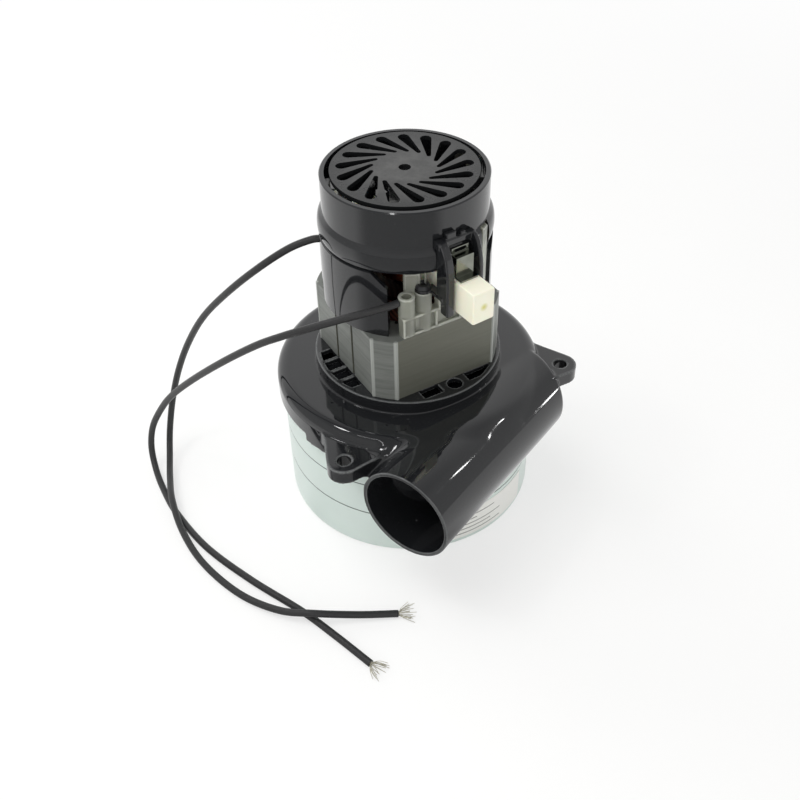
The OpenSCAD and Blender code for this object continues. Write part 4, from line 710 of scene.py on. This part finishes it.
def insulatorDistance(n, t, h):
    f = fieldInsulator
    edge = f["edge"]
    rho = np.hypot(n, t)

    def block(n0, n1, t0, t1, h0, h1):
        return roundedMeet(roundedMeet(within(n, n0, n1), within(t, t0, t1), edge), within(h, h0, h1), edge)

    def ringBlock(radius, half, span, height):
        ring = roundedMeet(np.maximum(np.abs(rho - radius) - half, -n), within(t, *span), edge)
        return roundedMeet(ring, within(h, 0, height), edge)

    body = block(f["back"], f["front"], -f["half"], f["half"], 0, f["baseHeight"])
    t0, t1, high = f["rest"]
    body = smoothMin(body, block(f["back"], f["front"], t0, t1, 0, high), f["blend"])
    for t0, t1, h0, h1 in f["panels"]:
        sunk = block(f["front"] - f["panelDepth"], f["front"] + f["panelReach"], t0, t1, h0, h1)
        body = roundedMeet(body, -sunk, edge)
    for place, _ in f["posts"]:
        out = np.hypot(n - f["postPlace"], t - place)
        post = roundedMeet(out - f["postRadius"], within(h, 0, f["postHeight"]), edge)
        body = smoothMin(body, post, f["blend"])
    for added in (
            ringBlock(f["wallRadius"], f["wallHalf"], f["wallSpan"], f["wallHeight"]),
            block(f["floorBack"], f["postPlace"], *f["wallSpan"], 0, f["floorHeight"]),
            ringBlock(f["uprightRadius"], f["uprightHalf"], f["uprightSpan"], f["uprightHeight"]),
            block(f["uprightBack"], f["front"], *f["uprightSpan"], 0, f["baseHeight"])):
        body = smoothMin(body, added, f["blend"])
    for place, hole in f["posts"]:
        out = np.hypot(n - f["postPlace"], t - place)
        body = roundedMeet(body, -np.maximum(out - hole, f["holeFoot"] - h), edge)
    return body


def makeInsulators():
    for side, extraTurn in (("front", 0), ("rear", 180)):
        piece = netPiece("fieldInsulator." + side, fieldInsulator, insulatorDistance, nylon, extraTurn)
        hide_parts("field_insulator_" + side)


makeInsulators()


# brush yokes: the outline of their solids, with rounded cheeks

brushYoke = {
    "turn": -20.0, "foot": 161.1,       # the frame below lies on the brush's middle
    "cheeks": ((-12.0, -7.6), (7.6, 10.0)), "low": -10.5, "high": 29.0,
    "brow": 9.0, "crown": 46.1, "out": 53.6,
    "lobeFoot": -1.0, "lobeRound": 1.5, "legBack": 47.6, "fillet": 3.5,
    "shellRadius": 43.3, "bandRadius": 46.0, "bandTop": 25.0, "bridgeFoot": 25.2, "back": 38.1,
    "lugs": ((-7.0, -1.0, 32.4), (1.5, 4.5, 30.7)), "lugOut": 45.5, "lugLap": 2.0,
    "pad": (34.6, -13.25, 4.4), "padHole": 1.5, "padSpan": (-3.5, -1.5), "padReach": 49.0, "padEdge": 0.3,
    "edge": 0.7, "blend": 0.8,
    "gridX": ((29.2, 55.2, 0.5),), "gridY": ((-18.8, 11.7, 0.5),), "gridZ": ((-11.7, 33.8, 0.5),),
}


def yokeDistance(n, t, h):
    k = brushYoke
    edge = k["edge"]
    rho = np.hypot(n, t)
    wide, tall = k["out"] - k["crown"], k["high"] - k["brow"]
    arch = np.hypot(np.maximum(n - k["crown"], 0) / wide, np.maximum(h - k["brow"], 0) / tall) - 1
    side = np.maximum(arch * wide, np.maximum(h - k["high"], n - k["out"]))
    lobe = smoothMin(k["lobeFoot"] - h, k["legBack"] - n, k["fillet"])
    side = roundedMeet(roundedMeet(side, lobe, k["lobeRound"]), k["low"] - h, edge)
    left, right = k["cheeks"]
    body = np.minimum(roundedMeet(side, within(t, *left), edge), roundedMeet(side, within(t, *right), edge))
    bridge = np.maximum(within(n, k["back"], k["crown"]), within(t, left[0], right[1]))
    body = smoothMin(body, roundedMeet(bridge, within(h, k["bridgeFoot"], k["high"]), edge), k["blend"])
    for t0, t1, top in k["lugs"]:
        lug = roundedMeet(within(n, k["back"], k["lugOut"]), within(t, t0, t1), edge)
        body = smoothMin(body, roundedMeet(lug, within(h, k["high"] - k["lugLap"], top), edge), k["blend"])
    shell = np.where(h < k["bandTop"], k["bandRadius"], k["shellRadius"])
    body = np.maximum(body, shell - rho)
    padN, padT, padR = k["pad"]
    spot = np.hypot(n - padN, t - padT)
    arm = np.maximum(within(n, padN, k["padReach"]), within(t, *left))
    pad = np.maximum(smoothMin(spot - padR, arm, k["blend"]), k["padHole"] - spot)
    return smoothMin(body, roundedMeet(pad, within(h, *k["padSpan"]), k["padEdge"]), k["blend"])


def makeYokes():
    for side, extraTurn in (("front", 0), ("rear", 180)):
        piece = netPiece("brushYoke." + side, brushYoke, yokeDistance, blackPolymer, extraTurn)
        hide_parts("brush_yoke_" + side)


makeYokes()


# finish of the solids that stay: softened edges and even shading

solidFinish = {"weld": 0.002, "flatUnder": 0.6, "softFrom": 34, "smoothUnder": 32}  # mm, then degrees


def shadeByAngle(limit):
    group = bpy.data.node_groups.new("shadeByAngle", "GeometryNodeTree")
    group.interface.new_socket("Geometry", in_out="INPUT", socket_type="NodeSocketGeometry")
    group.interface.new_socket("Geometry", in_out="OUTPUT", socket_type="NodeSocketGeometry")
    into, out = group.nodes.new("NodeGroupInput"), group.nodes.new("NodeGroupOutput")
    angle = group.nodes.new("GeometryNodeInputMeshEdgeAngle")
    flat = group.nodes.new("FunctionNodeCompare")
    flat.operation = "LESS_EQUAL"
    flat.inputs["B"].default_value = math.radians(limit)
    faces = group.nodes.new("GeometryNodeSetShadeSmooth")
    edges = group.nodes.new("GeometryNodeSetShadeSmooth")
    edges.domain = "EDGE"
    link = group.links.new
    link(into.outputs[0], faces.inputs["Geometry"])
    link(faces.outputs[0], edges.inputs["Geometry"])
    link(angle.outputs["Unsigned Angle"], flat.inputs["A"])
    link(flat.outputs[0], edges.inputs["Shade Smooth"])
    link(edges.outputs[0], out.inputs[0])
    return group


evenShading = shadeByAngle(solidFinish["smoothUnder"])


def dress(name, material, edge):
    node = cadNodes[name]
    node.data.materials.clear()
    node.data.materials.append(material)
    weld = node.modifiers.new("weld", "WELD")
    weld.merge_threshold = solidFinish["weld"] * mm
    merge = node.modifiers.new("mergeFlats", "DECIMATE")
    merge.decimate_type = "DISSOLVE"
    merge.angle_limit = math.radians(solidFinish["flatUnder"])
    if edge:
        soft = node.modifiers.new("softEdges", "BEVEL")
        soft.width = edge * mm
        soft.segments = 2
        soft.limit_method = "ANGLE"
        soft.angle_limit = math.radians(solidFinish["softFrom"])
        soft.use_clamp_overlap = True
    shade = node.modifiers.new("shade", "NODES")
    shade.node_group = evenShading
    node.modifiers.new("evenNormals", "WEIGHTED_NORMAL").keep_sharp = True


finishes = [  # material, edge in mm, solids
    (paintedCase, 0.4, ["fan_case_bottom", "fan_case_middle", "fan_case_top"]),
    (labelPaper, 0, ["rating_label"]),
    (blackPolymer, 1.0, ["upper_shell"]),
    (dustyFan, 0.5, ["vent_fan"]),
    (statorSheets, 0.4, ["stator_core"]),
    (statorSheets, 0.2, ["armature_core"]),
    (copperWire, 1.2, ["field_coils"]),
    (varnishedWire, 1.2, ["armature_winding"]),
    (barCopper, 0, ["commutator"]),
    (creamBox, 1.1, ["brush_box_front", "brush_box_rear"]),
    (springStrip, 0.3, ["brush_clamp_front", "brush_clamp_rear", "brush_spring_front",
                        "brush_spring_rear"]),
    (blackScrew, 0.4, ["yoke_screws"]),
    (pressedCarbon, 0.3, ["carbon_brush_front", "carbon_brush_rear"]),
    (wheelSheet, 0, ["impeller_first", "impeller_second", "impeller_third", "guide_disc_lower",
                     "guide_disc_upper"]),
    (groundSteel, 0.2, ["bearing_retainer", "retainer_screws", "lower_bearing_outer", "lower_bearing_inner",
                        "upper_bearing_outer", "upper_bearing_inner", "preload_washer", "shaft",
                        "impeller_spacers", "impeller_nut", "through_bolts"]),
    (groundSteel, 0, ["lower_bearing_balls", "upper_bearing_balls"]),
]
for material, edge, names in finishes:
    for name in names:
        dress(name, material, edge)
print("solids dressed")


# studio

studio = {
    "floorSize": 8.0,
    "floorColour": "#fbfbf9",
    "floorWhite": 0.6,      # share of plain white where the floor is seen; the rest keeps the shadow
    "fadeFrom": 0.35, "fadeTo": 1.0,    # m from the object, where the floor turns to plain white
    "worldSoft": 0.58,      # what the white room gives the surfaces
    "worldSeen": 1.0,       # what the camera sees, and reflections near the horizon
    "ceilingSeen": 0.5, "ceilingBand": (0.62, 0.92),     # what reflections see straight above
    "brightWall": (-0.588, 0.809, 0), "darkWall": 0.6,   # way to the bright wall, and level opposite it
    "wallBand": (0.25, 0.6),
    "frontWay": (0.469, -0.883, 0), "frontSeen": 0.42,     # part of the floor that reflections see darker
    "frontBand": (0.47, 0.77),
    "floorMirrored": 0.9,   # share of that plain tone in reflections of the floor
    "lamps": [
        # name, place, aim, size in m, power in W, colour, whether reflections show it
        ("overheadSoftbox", (-0.35, -0.35, 1.25), (0, 0, 0.08), (0.9, 0.9), 6.5, "#ffffff", False),
        ("sideSoftbox", (-1.2, 0.2, 0.7), (0, 0, 0.1), (0.6, 0.8), 4.5, "#ffffff", False),
        ("frontSoftbox", (0.9, -0.9, 0.5), (0, 0, 0.1), (0.7, 0.7), 2.8, "#ffffff", False),
        ("skylight", (-0.57, -0.52, 1.38), (0.02, -0.08, 0.085), (0.2, 0.16), 1.6, "#ffffff", True),
        ("ceilingTube", (0.05, -0.75, 1.35), (0.02, -0.04, 0.2), (0.7, 0.03), 0.6, "#ffffff", True),
        ("tubeLampHigh", (0.922, 0.902, 0.865), (0.076, -0.058, 0.087), (0.022, 0.085), 0.26,
         "#ffffff", True),
        ("tubeLampLow", (1.14, 1.085, 0.142), (0.081, 0.024, 0.078), (0.03, 0.08), 0.25, "#ffffff", True),
    ],
}


def makeStudio(s):
    scene = bpy.context.scene
    scene.view_settings.view_transform = "Standard"
    world = bpy.data.worlds.new("whiteRoom")
    scene.world = world
    world.use_nodes = True
    tree = world.node_tree
    ray = addNode(tree, "LightPath")
    outward = addNode(tree, "TexCoord").outputs["Generated"]
    way = addNode(tree, "SeparateXYZ", {0: outward})
    low, high = s["ceilingBand"]
    ceiling = addNode(tree, "MapRange", {"Value": way.outputs["Z"], "From Min": low, "From Max": high,
                                         "To Min": s["worldSeen"], "To Max": s["ceilingSeen"]})
    towards = addNode(tree, "VectorMath", {0: outward, 1: s["brightWall"]}, operation="DOT_PRODUCT")
    low, high = s["wallBand"]
    wall = addNode(tree, "MapRange", {"Value": towards, "From Min": low, "From Max": high,
                                      "To Min": s["darkWall"], "To Max": 1.0},
                   interpolation_type="SMOOTHSTEP")
    room = addNode(tree, "Math", {0: ceiling, 1: wall}, operation="MULTIPLY")
    mirrored = addNode(tree, "Mix", {"Factor": ray.outputs["Is Glossy Ray"], "A": s["worldSoft"],
                                     "B": room})
    seen = addNode(tree, "Math", {0: ray.outputs["Is Camera Ray"], 1: ray.outputs["Is Transmission Ray"]},
                   operation="MAXIMUM")
    level = addNode(tree, "Mix", {"Factor": seen, "A": mirrored, "B": s["worldSeen"]})
    feed(tree, tree.nodes["Background"], {"Color": (1, 1, 1, 1), "Strength": level})

    paper = bpy.data.meshes.new("floor")
    half = s["floorSize"] / 2
    corners = [(-half, -half, 0), (half, -half, 0), (half, half, 0), (-half, half, 0)]
    paper.from_pydata(corners, [], [(0, 1, 2, 3)])
    floor = bpy.data.objects.new("floor", paper)
    scene.collection.objects.link(floor)
    material, tree, shader, place = newMaterial("palePaperFloor")
    cloud = addNode(tree, "TexNoise", {"Vector": place, "Scale": 9.0, "Detail": 3})
    tone = addNode(tree, "Mix", {"Factor": cloud, "A": "#f7f7f5", "B": s["floorColour"]},
                   data_type="RGBA")
    feed(tree, shader, {"Base Color": tone, "Roughness": 0.8, "Specular IOR Level": 0.1})
    ray = addNode(tree, "LightPath")
    seen = addNode(tree, "Math", {0: ray.outputs["Is Camera Ray"], 1: ray.outputs["Is Transmission Ray"]},
                   operation="MAXIMUM")
    away = addNode(tree, "VectorMath", {0: place}, operation="LENGTH")
    fade = addNode(tree, "MapRange", {"Value": away, "From Min": s["fadeFrom"], "From Max": s["fadeTo"],
                                      "To Min": s["floorWhite"], "To Max": 1.0})
    plain = addNode(tree, "Math", {0: seen, 1: fade}, operation="MULTIPLY")
    mirrored = addNode(tree, "Math", {0: ray.outputs["Is Glossy Ray"], 1: s["floorMirrored"]},
                       operation="MULTIPLY")
    share = addNode(tree, "Math", {0: plain, 1: mirrored}, operation="MAXIMUM")
    outward = addNode(tree, "VectorMath", {0: place}, operation="NORMALIZE")
    towards = addNode(tree, "VectorMath", {0: outward, 1: s["frontWay"]}, operation="DOT_PRODUCT")
    low, high = s["frontBand"]
    front = addNode(tree, "MapRange", {"Value": towards, "From Min": low, "From Max": high, "To Min": 1.0,
                                       "To Max": s["frontSeen"]}, interpolation_type="SMOOTHSTEP")
    strength = addNode(tree, "Mix", {"Factor": ray.outputs["Is Glossy Ray"], "A": 1.0, "B": front})
    white = addNode(tree, "Emission", {"Color": (1, 1, 1, 1), "Strength": strength})
    shown = addNode(tree, "MixShader", {0: share, 1: shader, 2: white})
    feed(tree, tree.nodes["Material Output"], {"Surface": shown})
    paper.materials.append(material)

    for name, place, aim, size, power, colour, shows in s["lamps"]:
        lamp = bpy.data.lights.new(name, "AREA")
        lamp.shape = "RECTANGLE"
        lamp.size, lamp.size_y = size
        lamp.energy = power
        lamp.color = linearColour(colour)[:3]
        holder = bpy.data.objects.new(name, lamp)
        holder.visible_glossy = shows
        holder.location = place
        holder.rotation_euler = (Vector(aim) - Vector(place)).to_track_quat("-Z", "Y").to_euler()
        scene.collection.objects.link(holder)


makeStudio(studio)
print("studio lit")
